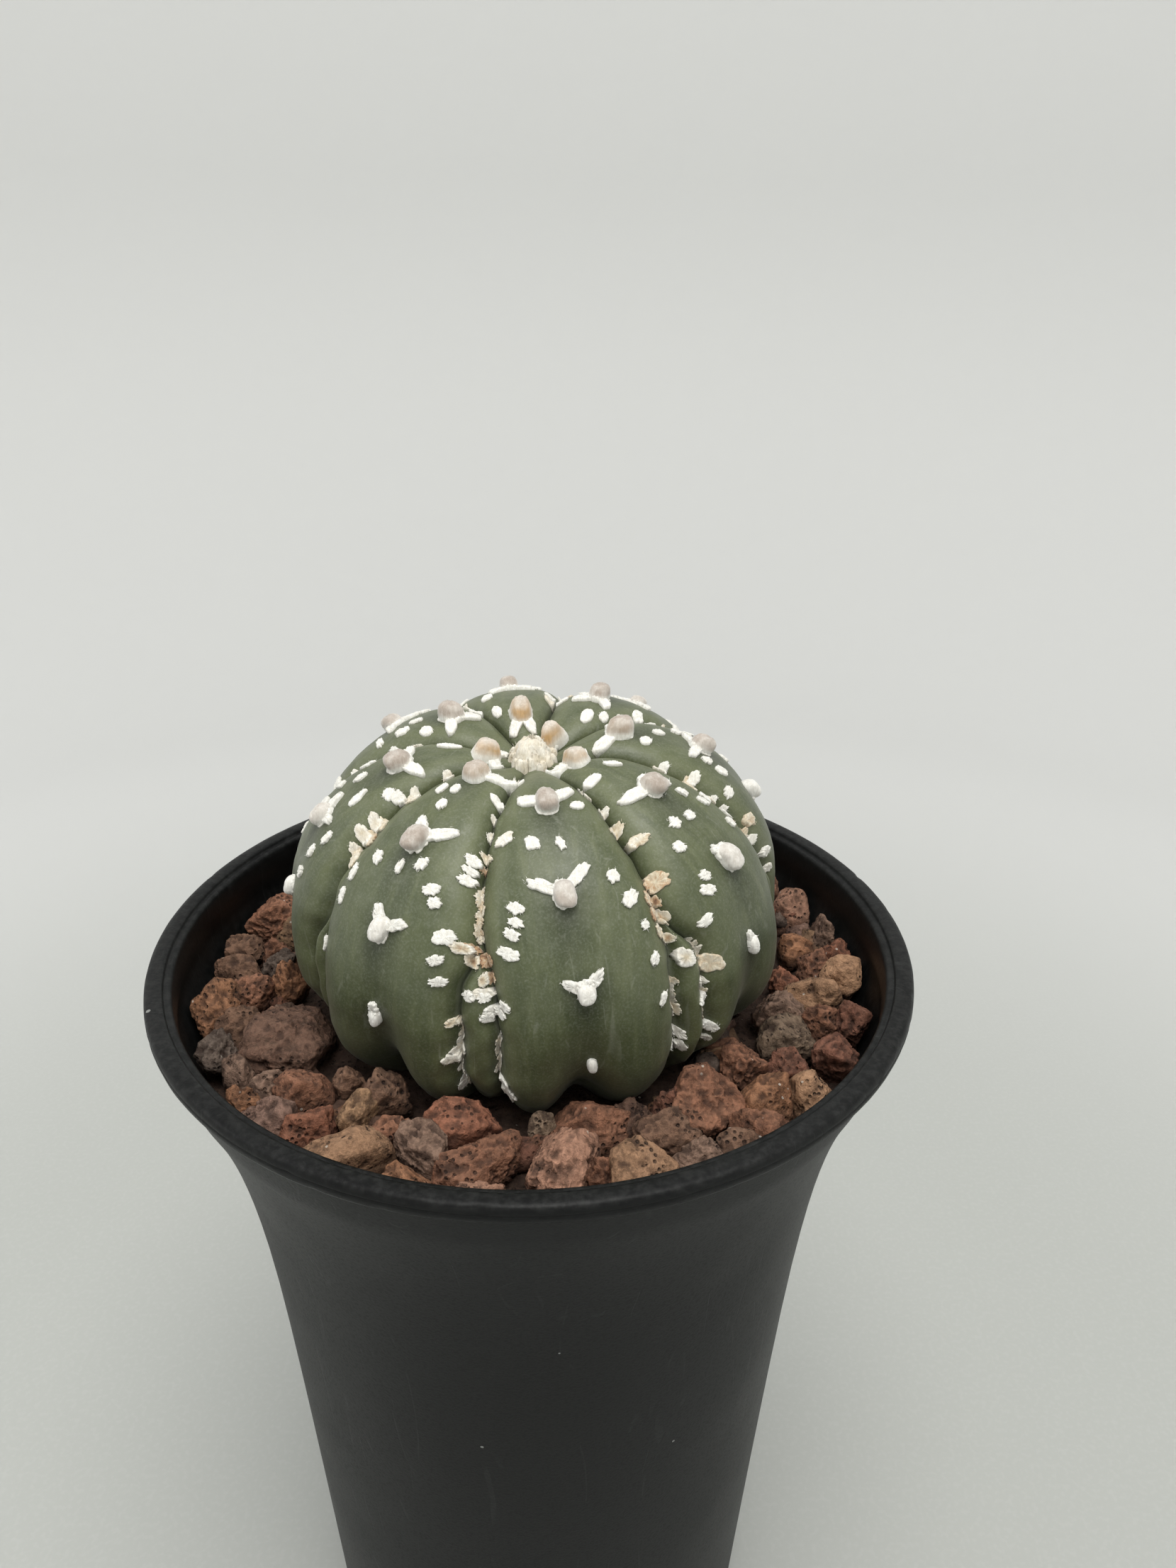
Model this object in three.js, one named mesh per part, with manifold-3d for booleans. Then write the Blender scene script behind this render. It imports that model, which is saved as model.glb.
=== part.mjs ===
// Potted sand dollar cactus in millimetres, +Z up, origin at the middle of the pot's underside.
// The viewer's side is -Y. Ribs are numbered from the front one towards +X.
import * as THREE from 'three';
import Module from 'manifold-3d';
import { mergeVertices } from 'three/addons/utils/BufferGeometryUtils.js';

const wasm = await Module();
wasm.setup();

// Pot
const potHeight = 140;
const rimRadius = 52.5;
const neckRadius = 43.35;
const wallTaper = 0.0587;
const flare = 11.27;
const flareLength = 16.49;
const wall = 1.3;
const lipHeight = 2.6;
const lipStep = 0.4;
const lipShoulder = 9;
const shoulderSlope = 0.3;
const footWidth = 3.8;
const footHeight = 3;
const footEdge = 0.6;
const floorTop = 4.6;
const drainRadius = 3.4;
const drainCircle = 20;
const drainCount = 4;
const drainSides = 12;
const potSides = 36;
const outsideLevels = [115, 65, 42, 26, 17, 11, 7].map((below) => potHeight - below);
const insideTop = potHeight - 7.5;

// Lip in section: millimetres in from the rim and below the top, from the outside to the inside
const lipSection = [
  [lipStep, 2.5], [0, 1.6], [0.15, 0.5], [0.8, 0], [2.5, 0], [2.7, 0.5], [3.5, 0.9], [4, 2.2],
];

// Soil and gravel
const gap = 0.3;
const soilTop = potHeight - 14;
const wallLevels = [potHeight - 70, potHeight - 42, potHeight - 24, soilTop];
const bedTop = potHeight - 12;
const bedInner = 12;
const stoneTop = potHeight - 8.2;
const stoneDepth = 4;
const stoneTallness = 0.5;
const stoneLift = 0.12;
const stoneUneven = 1.4;
const stoneSwell = { least: 0.96, range: 0.3 };
const stoneClearance = 0.8;
const largeStone = 9;

// Cactus body: a flattened round form, measured from its equator
const ribCount = 8;
const ribAngle = 360 / ribCount;
const firstRibAzimuth = 12;
const bodyCentre = new THREE.Vector3(0.45, 3.74, potHeight + 1.57);
const bodyLean = new THREE.Vector2(-0.02, -0.11);
const bodyRadius = 35.16;
const topHeight = 28.92;
const bottomHeight = 19.84;
const roundness = 2.268;
const crownDip = 4.58;
const crownDipRadius = 8.66;
const bottomAngle = 72;
const rootRadius = 8.5;
const rootDepth = 31;
const seatGap = 1;

// Relief of the ribs: pairs of arc length from the crown and amount
const furrowDepth = [[0, 0], [3, 0.6], [8, 1.3], [20, 2], [35, 2.8], [50, 3.6], [62, 3.2], [83, 0.8]];
const furrowWidth = [[0, 0.6], [8, 0.9], [20, 1.3], [35, 1.7], [50, 2]];
const ribBulge = [[0, 0], [8, 0.4], [20, 0.9], [40, 1.3], [60, 1.6], [83, 0.5]];
const valleyDepth = [[28, 0], [38, 0.6], [45, 1.3], [52, 2.8], [60, 4.4], [70, 3.5], [83, 1]];
const valleyWidth = 0.3;
const valleyShare = [1, 0.8, 0.9, 1.1, 0.8, 1, 0.7, 1.1];
const stripGrowth = 11;

// Narrow ribs that part the lower furrows: one after each rib, start along the arc, edges in degrees
const strips = [
  { start: 31, left: 1.2, right: 6.5 },
  { start: 34, left: 2.5, right: 4.5 },
  { start: 33, left: 3.5, right: 3 },
  { start: 36, left: 2, right: 5 },
  { start: 32, left: 4, right: 3 },
  { start: 35, left: 3, right: 4 },
  { start: 36, left: 3.4, right: 3.4 },
  { start: 31, left: 2.8, right: 5.8 },
];

// Areoles stand one by one down the arc, and each next one is three ribs on
const areoleCount = 32;
const areoleStart = 3.28;
const areoleStep = 1.49;
const areoleTurn = 3;
const lastYoungAreole = 10;
const lastArmedAreole = 18;
const armedAreoles = [21, 24];
const youngKnob = { width: 3.3, rise: 2.6 };
const oldKnob = { width: 2.7, rise: 2.4, narrowing: 0.03, sinking: 0.06 };
const armLength = 3.8;
const armWidth = 1.3;
const armSpread = 58;
const armStart = 0.6;
const crownRadius = 3.4;
const crownRise = 3.2;

// Flecks and tufts are low pads with a root under the skin
const padRise = 0.85;
const padRoot = 0.7;
const padSink = 0.15;
const largeFleck = 2.3;
const castHeight = 6;

// White flecks by rib: place across the rib from -1 to 1, arc length, length, width, turn in degrees
const flecks = {
  1: [
    [-0.95, 9.2, 2, 1, 120], [-0.86, 20, 2.7, 1.9, 115], [-0.42, 21, 2.2, 1.8, 45],
    [0, 21.3, 2.1, 1.2, 15], [0.5, 16.2, 2, 1.3, 85], [0.57, 26.6, 2, 1.7, 150],
    [0.68, 29.7, 2.9, 2, 120], [-0.62, 29, 2.3, 1.6, 75], [-0.61, 30.7, 2.2, 1.3, 70],
    [-0.65, 32.1, 2.3, 1.4, 65], [-0.68, 34.4, 3.1, 1.6, 75], [0.76, 33.3, 1.5, 1.3, 0],
    [0.77, 37.7, 1.9, 1.4, 155], [0.79, 43.2, 2.1, 1.3, 140], [-0.72, 41.3, 1.8, 1.4, 55],
    [-0.93, 35.7, 2.2, 2, 0], [-0.88, 38, 2, 1.5, 20], [-0.93, 39.9, 3, 1.5, 90],
    [-0.86, 42.6, 2, 1.6, 75],
  ],
  2: [
    [0.22, 12.4, 2.6, 1, 20], [-0.68, 12.4, 2.6, 1.8, 70], [-0.95, 20.3, 2.5, 1.8, 120],
    [-0.8, 23.2, 3, 1.6, 80], [-0.2, 23.9, 2, 1.7, 60], [-0.4, 26.7, 1.9, 1.6, 60],
    [0.13, 24.3, 1.9, 1.5, 45], [0.35, 20.6, 1.9, 1.2, 15], [0.45, 23.3, 2.3, 2, 0],
    [0.52, 29, 2.2, 1.5, 20], [-0.93, 28.6, 3, 2.6, 90], [-0.33, 31.3, 1.9, 1.5, 80],
    [-0.38, 33, 2.6, 1.6, 60], [-0.55, 36.2, 2.2, 1.5, 110], [0.9, 18, 2, 1.4, 30],
    [0.9, 26.3, 2, 1.3, 40], [0.88, 29, 2.4, 1.3, 20], [-0.9, 36.6, 2.2, 1.9, 30],
    [-0.7, 37.6, 3.2, 2.4, 60], [-0.76, 41, 2.6, 1.5, 70],
  ],
  3: [
    [-0.35, 15.6, 1.8, 1.7, 0], [0.1, 18, 1.8, 1.4, 0], [-0.3, 24.8, 2, 1.3, 20],
    [-0.35, 27.3, 2.3, 1.6, 20], [-0.65, 28.8, 1.8, 1.7, 90], [-0.88, 23, 2.8, 2.6, 0],
    [-0.9, 32, 3, 1.8, 10], [-0.85, 34.8, 2.6, 2.2, 0],
  ],
  4: [[-0.45, 11, 3, 1.7, 20]],
  5: [[0.72, 11.5, 2.8, 1.2, 0]],
  6: [[0.22, 19.3, 2.4, 1.3, 10]],
  7: [
    [-0.42, 11.2, 3.4, 1.3, 0], [0.85, 12.6, 2, 1.5, 30], [0.9, 18.6, 2.3, 2, 0],
    [0.6, 20.6, 2.1, 1.8, 0], [-0.55, 23, 2.6, 1, 0], [-0.2, 23.7, 2.4, 1.4, 0],
    [0.27, 24.6, 3.3, 1.3, 10], [0.88, 23.9, 2.6, 1.8, 60], [0.9, 26.3, 3, 2.2, 90],
    [0.9, 29.7, 3.2, 2.6, 40], [0.42, 30.8, 2.2, 1.1, 0], [0.3, 34, 2, 1.2, 0],
    [0.3, 37.4, 1.8, 1.4, 0],
  ],
  8: [
    [-0.55, 15.5, 2.2, 1.1, 0], [-0.25, 14.7, 1.9, 1.2, 10], [-0.2, 17.6, 1.8, 1.4, 0],
    [0.75, 13.8, 2.4, 1.4, 60], [-0.53, 27.3, 2.2, 1.7, 30], [-0.8, 30.6, 2.6, 1.4, 20],
    [-0.77, 33.9, 2.2, 1.3, 20], [-0.15, 27, 2, 1, 0], [0.13, 25.7, 2.2, 1.6, 147],
    [0.38, 28.2, 2.3, 1.5, 110], [0.46, 29.7, 2, 1.5, 110], [0.74, 23.3, 2.3, 1.6, 80],
    [0.74, 24.7, 2.4, 1.1, 80], [0.74, 26, 2.5, 1.6, 85], [0.66, 33.3, 3.1, 2.1, 100],
    [0.6, 36.2, 2.2, 1.3, 110], [0.64, 38.9, 2.3, 1.4, 100], [0.8, 49.8, 2.2, 1.6, 80],
    [-0.85, 41.5, 2.4, 1.3, 0], [0.9, 34.4, 2.4, 1.5, 75],
  ],
};

// Ribs away from the viewer take their flecks by rule
const scattered = [
  { rib: 3, from: 0.2, to: 0.85, count: 6 },
  { rib: 4, from: -0.85, to: 0.85, count: 13 },
  { rib: 5, from: -0.85, to: 0.85, count: 13 },
  { rib: 6, from: -0.85, to: 0.85, count: 13 },
  { rib: 7, from: -0.85, to: -0.3, count: 4 },
];
const scatterTop = 13;
const scatterBottom = 44;
const scatterGap = 3.2;
const scatterMiddle = 2.6;
const scatterLength = { least: 1.8, range: 0.9 };
const tuft = { top: 15, bottom: 55, step: 7, long: 2.2, wide: 1.3, turn: 20, rise: 0.8, aside: 1.1 };

// Lava stones that the viewer sees: x, y, length, width, turn in degrees
const stones = [
  [-41, 16, 10.5, 9, 20], [-44.5, 8.3, 5.5, 4.5, 0], [-39.8, 8.6, 5.5, 4.5, 40],
  [-44, 2.6, 9, 5, 0], [-38.4, 3.2, 5.5, 4.5, 70], [-40.6, -3.4, 6.5, 5, 20],
  [-44, -8, 9, 8, 100], [-39.6, -11, 6, 5, 30], [-32.3, -13.5, 16, 11, 95],
  [-28.5, -24.6, 7, 6, 30], [-41, -17, 5.5, 5, 80], [-37, -20.8, 7, 5, 130],
  [-32.8, -22.6, 5.5, 4.5, 0], [-31, -28, 8, 6.5, 150], [-35.3, -26.2, 4.5, 4, 0],
  [-26, -31, 7, 5, 20], [-21.5, -35.5, 11, 8, 10], [-22.6, -21.8, 4.6, 4, 0],
  [-17.8, -25, 8, 6, 30], [-20.6, -29, 5.5, 4.5, 60], [-16, -31, 5, 4.4, 0],
  [-12, -33.8, 11, 6, 125], [-7, -29.6, 9, 6, 10], [-4.4, -36.4, 10, 7, 30],
  [-13, -40.4, 7, 5.5, 10], [-3.6, -42.6, 6, 4.5, 0], [4.6, -36, 12, 8.5, 80],
  [2.4, -29.5, 4, 3.4, 0], [8.2, -28, 9, 6.5, 160], [13, -27.2, 6, 5, 20],
  [17.2, -31.6, 9, 6, 10], [18.4, -26.4, 5, 4, 0], [14.4, -37.6, 8.5, 7, 30],
  [9.6, -37.6, 5, 4.4, 0], [21.8, -36, 7.5, 5, 15], [26.2, -35.4, 6.5, 5, 140],
  [22.6, -25, 10, 8, 40], [28, -17.6, 6.5, 5.5, 50], [30.5, -24, 9, 7.5, 60],
  [29.4, -31, 8.5, 6, 130], [36.4, -24, 7.5, 6, 60], [34.4, -18, 5.5, 4.6, 0],
  [35.4, -12, 8, 7, 30], [34.6, -5.6, 7.5, 6, 80], [41, -1.8, 8.6, 7, 20],
  [45.4, 3, 5.6, 5, 0], [44.4, -8.8, 5.5, 5, 40], [40, -8.8, 5.5, 4.5, 0],
  [41, -15.6, 6.5, 5.5, 60], [38.4, 5, 6, 5, 90], [45, 9, 6.5, 5.5, 30],
  [44, 16, 6.5, 5.5, 110], [39.6, 11.6, 5.5, 5, 0], [42.3, 22, 7, 6, 50],
];
const backRings = [
  { radius: 44.6, from: 27, to: 160, step: 9.4, size: 6.8 },
  { radius: 39.6, from: 24, to: 165, step: 9, size: 5.4 },
];

// Plain colours
const colours = {
  pot: new THREE.Color(0.035, 0.036, 0.038),
  soil: new THREE.Color(0.12, 0.075, 0.05),
  gravel: new THREE.Color(0.3, 0.14, 0.09),
  cactus: new THREE.Color(0.15, 0.2, 0.1),
};

// Repeatable random numbers from 0 to 1
function seeded(seed) {
  let state = seed;
  return () => {
    state = (state * 1664525 + 1013904223) % 4294967296;
    return state / 4294967296;
  };
}

function radians(degrees) {
  return degrees * Math.PI / 180;
}

// Value of a list of [place, amount] pairs at a place, held level past both ends
function along(pairs, place) {
  let before = pairs[0];
  for (const pair of pairs) {
    if (place < pair[0]) {
      const share = (place - before[0]) / Math.max(pair[0] - before[0], 1e-9);
      return before[1] + (pair[1] - before[1]) * Math.max(share, 0);
    }
    before = pair;
  }
  return before[1];
}

function smoothStep(value) {
  const t = Math.min(Math.max(value, 0), 1);
  return t * t * (3 - 2 * t);
}

// Closed mesh with shared vertices, without triangles that have no area
function meshFrom(points, faces) {
  const geometry = new THREE.BufferGeometry();
  geometry.setAttribute('position', new THREE.Float32BufferAttribute(points, 3));
  geometry.setIndex(faces);
  return geometry;
}

function merged(geometry) {
  geometry.deleteAttribute('normal');
  geometry.deleteAttribute('uv');
  const shared = mergeVertices(geometry, 1e-4);
  const index = shared.index.array;
  const faces = [];
  for (let i = 0; i < index.length; i += 3) {
    const [a, b, c] = [index[i], index[i + 1], index[i + 2]];
    if (a !== b && b !== c && c !== a) faces.push(a, b, c);
  }
  return meshFrom(Array.from(shared.attributes.position.array), faces);
}

function toSolid(geometry) {
  const shared = merged(geometry);
  return new wasm.Manifold(new wasm.Mesh({
    numProp: 3,
    vertProperties: new Float32Array(shared.attributes.position.array),
    triVerts: new Uint32Array(shared.index.array),
  }));
}

function toGeometry(solid) {
  const mesh = solid.getMesh();
  return meshFrom(Array.from(mesh.vertProperties), Array.from(mesh.triVerts));
}

// One body from many: sealed hollows are filled and loose scraps dropped
function fused(geometries) {
  const bodies = wasm.Manifold.union(geometries.map(toSolid)).decompose();
  return bodies.reduce((largest, other) => (other.volume() > largest.volume() ? other : largest));
}

// Solid of revolution round Z from [radius, height] pairs, listed upwards on the outside
function revolved(pairs, sides) {
  const outline = pairs.map(([radius, height]) => new THREE.Vector2(radius, height));
  const geometry = new THREE.LatheGeometry(outline, sides);
  geometry.rotateX(Math.PI / 2);
  return geometry;
}

// Outside of the pot's wall: a slight taper that flares under the lip
function wallRadius(height) {
  const below = height - potHeight;
  const flared = neckRadius + wallTaper * below + flare * Math.exp(below / flareLength);
  const underLip = rimRadius - lipStep + shoulderSlope * Math.max(below, -lipShoulder);
  return Math.min(flared, underLip);
}

function innerRadius(height) {
  return wallRadius(height) - wall;
}

function potGeometry() {
  const foot = wallRadius(0);
  const outside = [...outsideLevels, potHeight - lipHeight - 0.3];
  const inside = [insideTop, ...wallLevels.toReversed(), floorTop];
  const outline = [
    [0, footHeight],
    [foot - footWidth, footHeight],
    [foot - footWidth + footEdge, 0],
    [foot - footEdge, 0],
    [wallRadius(footEdge), footEdge],
    ...outside.map((height) => [wallRadius(height), height]),
    ...lipSection.map(([inward, below]) => [rimRadius - inward, potHeight - below]),
    ...inside.map((height) => [innerRadius(height), height]),
    [0, floorTop],
  ];
  let solid = toSolid(revolved(outline, potSides));
  const drain = [[0, 0], [drainRadius, 0], [drainRadius, floorTop + 2], [0, floorTop + 2]];
  for (let i = 0; i <= drainCount; i += 1) {
    const hole = revolved(drain, drainSides);
    const angle = i * 2 * Math.PI / drainCount;
    const radius = i === drainCount ? 0 : drainCircle;
    hole.translate(radius * Math.cos(angle), radius * Math.sin(angle), 1);
    solid = solid.subtract(toSolid(hole));
  }
  return toGeometry(solid);
}

// Smooth outline of the body as arc length, radius and height, from the crown down to the root
function bodyOutline() {
  const steps = 180;
  const power = 2 / roundness;
  const outline = [];
  for (let i = 0; i <= steps; i += 1) {
    const angle = radians(90 * i / steps);
    const radius = bodyRadius * Math.sin(angle) ** power;
    const dip = crownDip * Math.exp(-((radius / crownDipRadius) ** 2));
    outline.push({ radius, height: topHeight * Math.max(Math.cos(angle), 0) ** power - dip });
  }
  for (let i = 1; i <= steps; i += 1) {
    const angle = radians(bottomAngle * i / steps);
    outline.push({ radius: bodyRadius * Math.cos(angle) ** power, height: -bottomHeight * Math.sin(angle) });
  }
  let arc = 0;
  outline.forEach((point, i) => {
    const last = outline[Math.max(i - 1, 0)];
    arc += Math.hypot(point.radius - last.radius, point.height - last.height);
    point.arc = arc;
  });
  return outline;
}

const outline = bodyOutline();
const radiusPairs = outline.map((point) => [point.arc, point.radius]);
const heightPairs = outline.map((point) => [point.arc, point.height]);

// Where across its rib an azimuth lies, and how far it is from the nearest furrow in millimetres
function ribPlace(arc, azimuth) {
  const turned = (azimuth - firstRibAzimuth) / ribAngle;
  const rib = Math.round(turned);
  const across = (turned - rib) * 2;
  const index = ((rib % ribCount) + ribCount) % ribCount;
  const near = [[index, 1], [(index + ribCount - 1) % ribCount, -1]];
  let least = Infinity;
  for (const [after, side] of near) {
    const strip = strips[after];
    const share = smoothStep((arc - strip.start) / stripGrowth);
    const offset = (across - side) * ribAngle / 2;
    least = Math.min(least, Math.abs(offset + strip.left * share), Math.abs(offset - strip.right * share));
  }
  return { index, across, furrow: radians(least) * along(radiusPairs, arc) };
}

// How far the skin lies inside the smooth outline
function relief(arc, azimuth) {
  const { index, across, furrow } = ribPlace(arc, azimuth);
  const groove = along(furrowDepth, arc) * Math.exp(-furrow / along(furrowWidth, arc));
  const bulge = along(ribBulge, arc) * Math.abs(across) ** 3;
  const valley = along(valleyDepth, arc) * valleyShare[index] * Math.exp(-((across / valleyWidth) ** 2));
  return groove + bulge + valley;
}

// Direction straight out of the smooth outline
function outward(arc, azimuth) {
  const reach = 0.4;
  const slope = new THREE.Vector2(
    along(radiusPairs, arc + reach) - along(radiusPairs, Math.max(arc - reach, 0)),
    along(heightPairs, arc + reach) - along(heightPairs, Math.max(arc - reach, 0)),
  ).normalize();
  const angle = radians(azimuth);
  return new THREE.Vector3(-slope.y * Math.sin(angle), slope.y * Math.cos(angle), slope.x);
}

// Point of the ribbed skin, or above it by lift
function skinPoint(arc, azimuth, lift = 0) {
  const angle = radians(azimuth);
  const radius = along(radiusPairs, arc);
  const height = along(heightPairs, arc);
  const point = new THREE.Vector3(radius * Math.sin(angle), -radius * Math.cos(angle), height);
  return point.addScaledVector(outward(arc, azimuth), lift - relief(arc, azimuth));
}

// Closed skin from rings of points, each ring listed towards +X at the front, from top to bottom
function ringedGeometry(top, rings, bottom) {
  const count = rings[0].length;
  const points = [top, ...rings.flat(), bottom].flatMap((point) => point.toArray());
  const last = 1 + rings.length * count;
  const faces = [];
  for (let i = 0; i < count; i += 1) {
    const next = (i + 1) % count;
    faces.push(0, 1 + i, 1 + next);
    for (let row = 0; row < rings.length - 1; row += 1) {
      const a = 1 + row * count + i;
      const b = 1 + row * count + next;
      faces.push(a, a + count, b);
      faces.push(b, a + count, b + count);
    }
    faces.push(last - count + i, last, last - count + next);
  }
  return meshFrom(points, faces);
}

function bodyGeometry() {
  const rows = [1.6, 3.4, 6, 9, 12.5, 16.5, 21, 25.5, 30, 34, 38, 42, 46, 49.5, 53, 56.5, 60.5, 66, 74];
  const azimuths = [];
  for (let rib = 0; rib < ribCount; rib += 1) {
    const middle = firstRibAzimuth + rib * ribAngle;
    const before = strips[(rib + ribCount - 1) % ribCount];
    azimuths.push(middle - ribAngle / 2);
    azimuths.push(middle - ribAngle / 2 + before.right);
    for (const across of [-0.52, -0.25, 0, 0.25, 0.52]) azimuths.push(middle + across * ribAngle / 2);
    azimuths.push(middle + ribAngle / 2 - strips[rib].left);
  }
  const rings = rows.map((arc) => azimuths.map((azimuth) => skinPoint(arc, azimuth)));
  for (const height of [-bottomHeight, -rootDepth]) {
    rings.push(azimuths.map((azimuth) => {
      const angle = radians(azimuth);
      return new THREE.Vector3(rootRadius * Math.sin(angle), -rootRadius * Math.cos(angle), height);
    }));
  }
  const root = new THREE.Vector3(0, 0, -rootDepth - 1);
  return ringedGeometry(skinPoint(0, 0), rings, root);
}

// Point on the faceted body, or above it by lift
const body = new THREE.Mesh(bodyGeometry(), new THREE.MeshBasicMaterial());
const ray = new THREE.Raycaster();
function facetPoint(arc, azimuth, lift) {
  const normal = outward(arc, azimuth);
  ray.set(skinPoint(arc, azimuth, castHeight), normal.clone().negate());
  const hit = ray.intersectObject(body)[0].point;
  return hit.addScaledVector(normal, lift);
}

// Ring of points round a place on the skin
function ringAt(arc, azimuth, size, lift, corners) {
  const ring = [];
  const radius = Math.max(along(radiusPairs, arc), 1);
  for (let i = 0; i < corners; i += 1) {
    const angle = 2 * Math.PI * i / corners;
    const forward = size.long / 2 * Math.cos(angle);
    const sideways = size.wide / 2 * Math.sin(angle);
    const turn = radians(size.turn);
    const down = forward * Math.cos(turn) - sideways * Math.sin(turn);
    const across = forward * Math.sin(turn) + sideways * Math.cos(turn);
    const place = Math.max(arc + down, 0.2);
    const degrees = azimuth + across / radius * 180 / Math.PI;
    ring.push(facetPoint(place, degrees, lift));
  }
  return ring;
}

// Low woolly pad with its root under the skin
function padGeometry(arc, azimuth, long, wide, turn, rise = padRise) {
  const ring = ringAt(arc, azimuth, { long, wide, turn }, -padSink, long > largeFleck ? 6 : 5);
  return ringedGeometry(facetPoint(arc, azimuth, rise), [ring], facetPoint(arc, azimuth, -padRoot));
}

// Blunt woolly knob that stands out of the skin
function knobGeometry(arc, azimuth, width, rise) {
  const base = ringAt(arc, azimuth, { long: width, wide: width, turn: 0 }, -padRoot, 6);
  const brow = ringAt(arc + 0.4, azimuth, { long: width * 0.8, wide: width * 0.8, turn: 0 }, rise * 0.75, 6);
  const top = facetPoint(arc + 0.4, azimuth, rise);
  return ringedGeometry(top, [brow, base], facetPoint(arc, azimuth, -padRoot - 0.4));
}

function ribAzimuth(rib, across = 0) {
  return firstRibAzimuth + (rib - 1 + across / 2) * ribAngle;
}

// Knobs with two white arms that open towards the crown
function areoles() {
  const pieces = [];
  for (let n = 1; n <= areoleCount; n += 1) {
    const arc = areoleStart + areoleStep * n;
    const azimuth = ribAzimuth((areoleTurn * n) % ribCount + 1);
    const age = n - lastYoungAreole;
    const width = age > 0 ? oldKnob.width - oldKnob.narrowing * age : youngKnob.width;
    const rise = age > 0 ? oldKnob.rise - oldKnob.sinking * age : youngKnob.rise;
    pieces.push(knobGeometry(arc, azimuth, width, rise));
    if (n > lastArmedAreole && !armedAreoles.includes(n)) continue;
    for (const side of [-1, 1]) {
      const reach = armLength / 2 + 0.4;
      const tilt = radians(armSpread);
      const place = arc - armStart - reach * Math.cos(tilt);
      const radius = Math.max(along(radiusPairs, arc), 4);
      const swing = side * reach * Math.sin(tilt) / radius * 180 / Math.PI;
      if (place < crownRadius - 0.5) continue;
      pieces.push(padGeometry(place, azimuth + swing, armLength, armWidth, -side * armSpread));
    }
  }
  return pieces;
}

function fleckPads() {
  const pieces = [];
  for (const [rib, rows] of Object.entries(flecks)) {
    for (const [across, arc, long, wide, turn] of rows) {
      pieces.push(padGeometry(arc, ribAzimuth(Number(rib), across), long, wide, turn));
    }
  }
  return pieces;
}

// Flecks kept clear of each other and of the knobs on the rib's middle
function scatteredPads() {
  const random = seeded(11);
  const pieces = [];
  for (const { rib, from, to, count } of scattered) {
    const taken = [];
    for (let tries = 0; taken.length < count && tries < 400; tries += 1) {
      const across = from + (to - from) * random();
      const arc = scatterTop + (scatterBottom - scatterTop) * random();
      const side = across * along(radiusPairs, arc) * radians(ribAngle / 2);
      const free = taken.every(([x, y]) => Math.hypot(x - side, y - arc) > scatterGap);
      if (!free || Math.abs(side) < scatterMiddle) continue;
      taken.push([side, arc]);
      const long = scatterLength.least + scatterLength.range * random();
      pieces.push(padGeometry(arc, ribAzimuth(rib, across), long, long * 0.7, 180 * random()));
    }
  }
  return pieces;
}

// Wool that lines the furrows, on alternate shoulders
function furrowTufts() {
  const random = seeded(23);
  const pieces = [];
  strips.forEach((strip, i) => {
    const middle = ribAzimuth(i + 1, 1);
    let side = 1;
    for (let arc = tuft.top + 2 * random(); arc < tuft.bottom; arc += tuft.step * (0.8 + 0.4 * random())) {
      const share = smoothStep((arc - strip.start) / stripGrowth);
      const edges = share > 0.3 ? [-strip.left * share, strip.right * share] : [0];
      for (const edge of edges) {
        const shoulder = side * tuft.aside / along(radiusPairs, arc) * 180 / Math.PI;
        const azimuth = middle + edge + shoulder;
        pieces.push(padGeometry(arc, azimuth, tuft.long, tuft.wide, tuft.turn * side, tuft.rise));
        side = -side;
      }
    }
  });
  return pieces;
}

function crownWool() {
  const rings = [[0.5, 0.95], [0.9, 0.55], [1, -0.2]].map(([share, lift]) => {
    return [0, 1, 2, 3, 4, 5, 6, 7].map((i) => facetPoint(crownRadius * share, 45 * i, crownRise * lift));
  });
  return ringedGeometry(facetPoint(0.1, 0, crownRise), rings, facetPoint(0.1, 0, -padRoot));
}

function cactusGeometry() {
  const pads = [...areoles(), ...fleckPads(), ...scatteredPads(), ...furrowTufts()];
  return toGeometry(fused([bodyGeometry(), crownWool(), ...pads]));
}

// Plain seat for the cactus: its smooth outline and root, wider all round by the given amount
function seatGeometry(room) {
  const levels = [0, 0.35, 0.6, 0.78, 0.9].map((share) => share * bottomHeight);
  const lower = levels.map((level) => {
    const angle = Math.asin(level / bottomHeight);
    return [bodyRadius * Math.cos(angle) ** (2 / roundness) + room, -level - room * 0.4];
  });
  const outline = [
    [0, -rootDepth - 1 - room],
    [rootRadius + room, -rootDepth - 1 - room],
    [rootRadius + room, -bottomHeight - room],
    ...lower.toReversed(),
    [bodyRadius + room, topHeight],
    [0, topHeight],
  ];
  const geometry = revolved(outline, 48);
  geometry.applyQuaternion(leanTurn());
  geometry.translate(bodyCentre.x, bodyCentre.y, bodyCentre.z);
  return geometry;
}

function leanTurn() {
  const axis = new THREE.Vector3(-bodyLean.y, bodyLean.x, 0).normalize();
  return new THREE.Quaternion().setFromAxisAngle(axis, bodyLean.length());
}

function soilGeometry() {
  const bottom = floorTop + gap;
  const outline = [
    [0, bottom],
    [innerRadius(floorTop) - gap, bottom],
    ...wallLevels.map((height) => [innerRadius(height) - gap, height]),
    [0, soilTop],
  ];
  const fill = toSolid(revolved(outline, potSides));
  return toGeometry(fill.subtract(toSolid(seatGeometry(gap * 2))));
}

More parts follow.
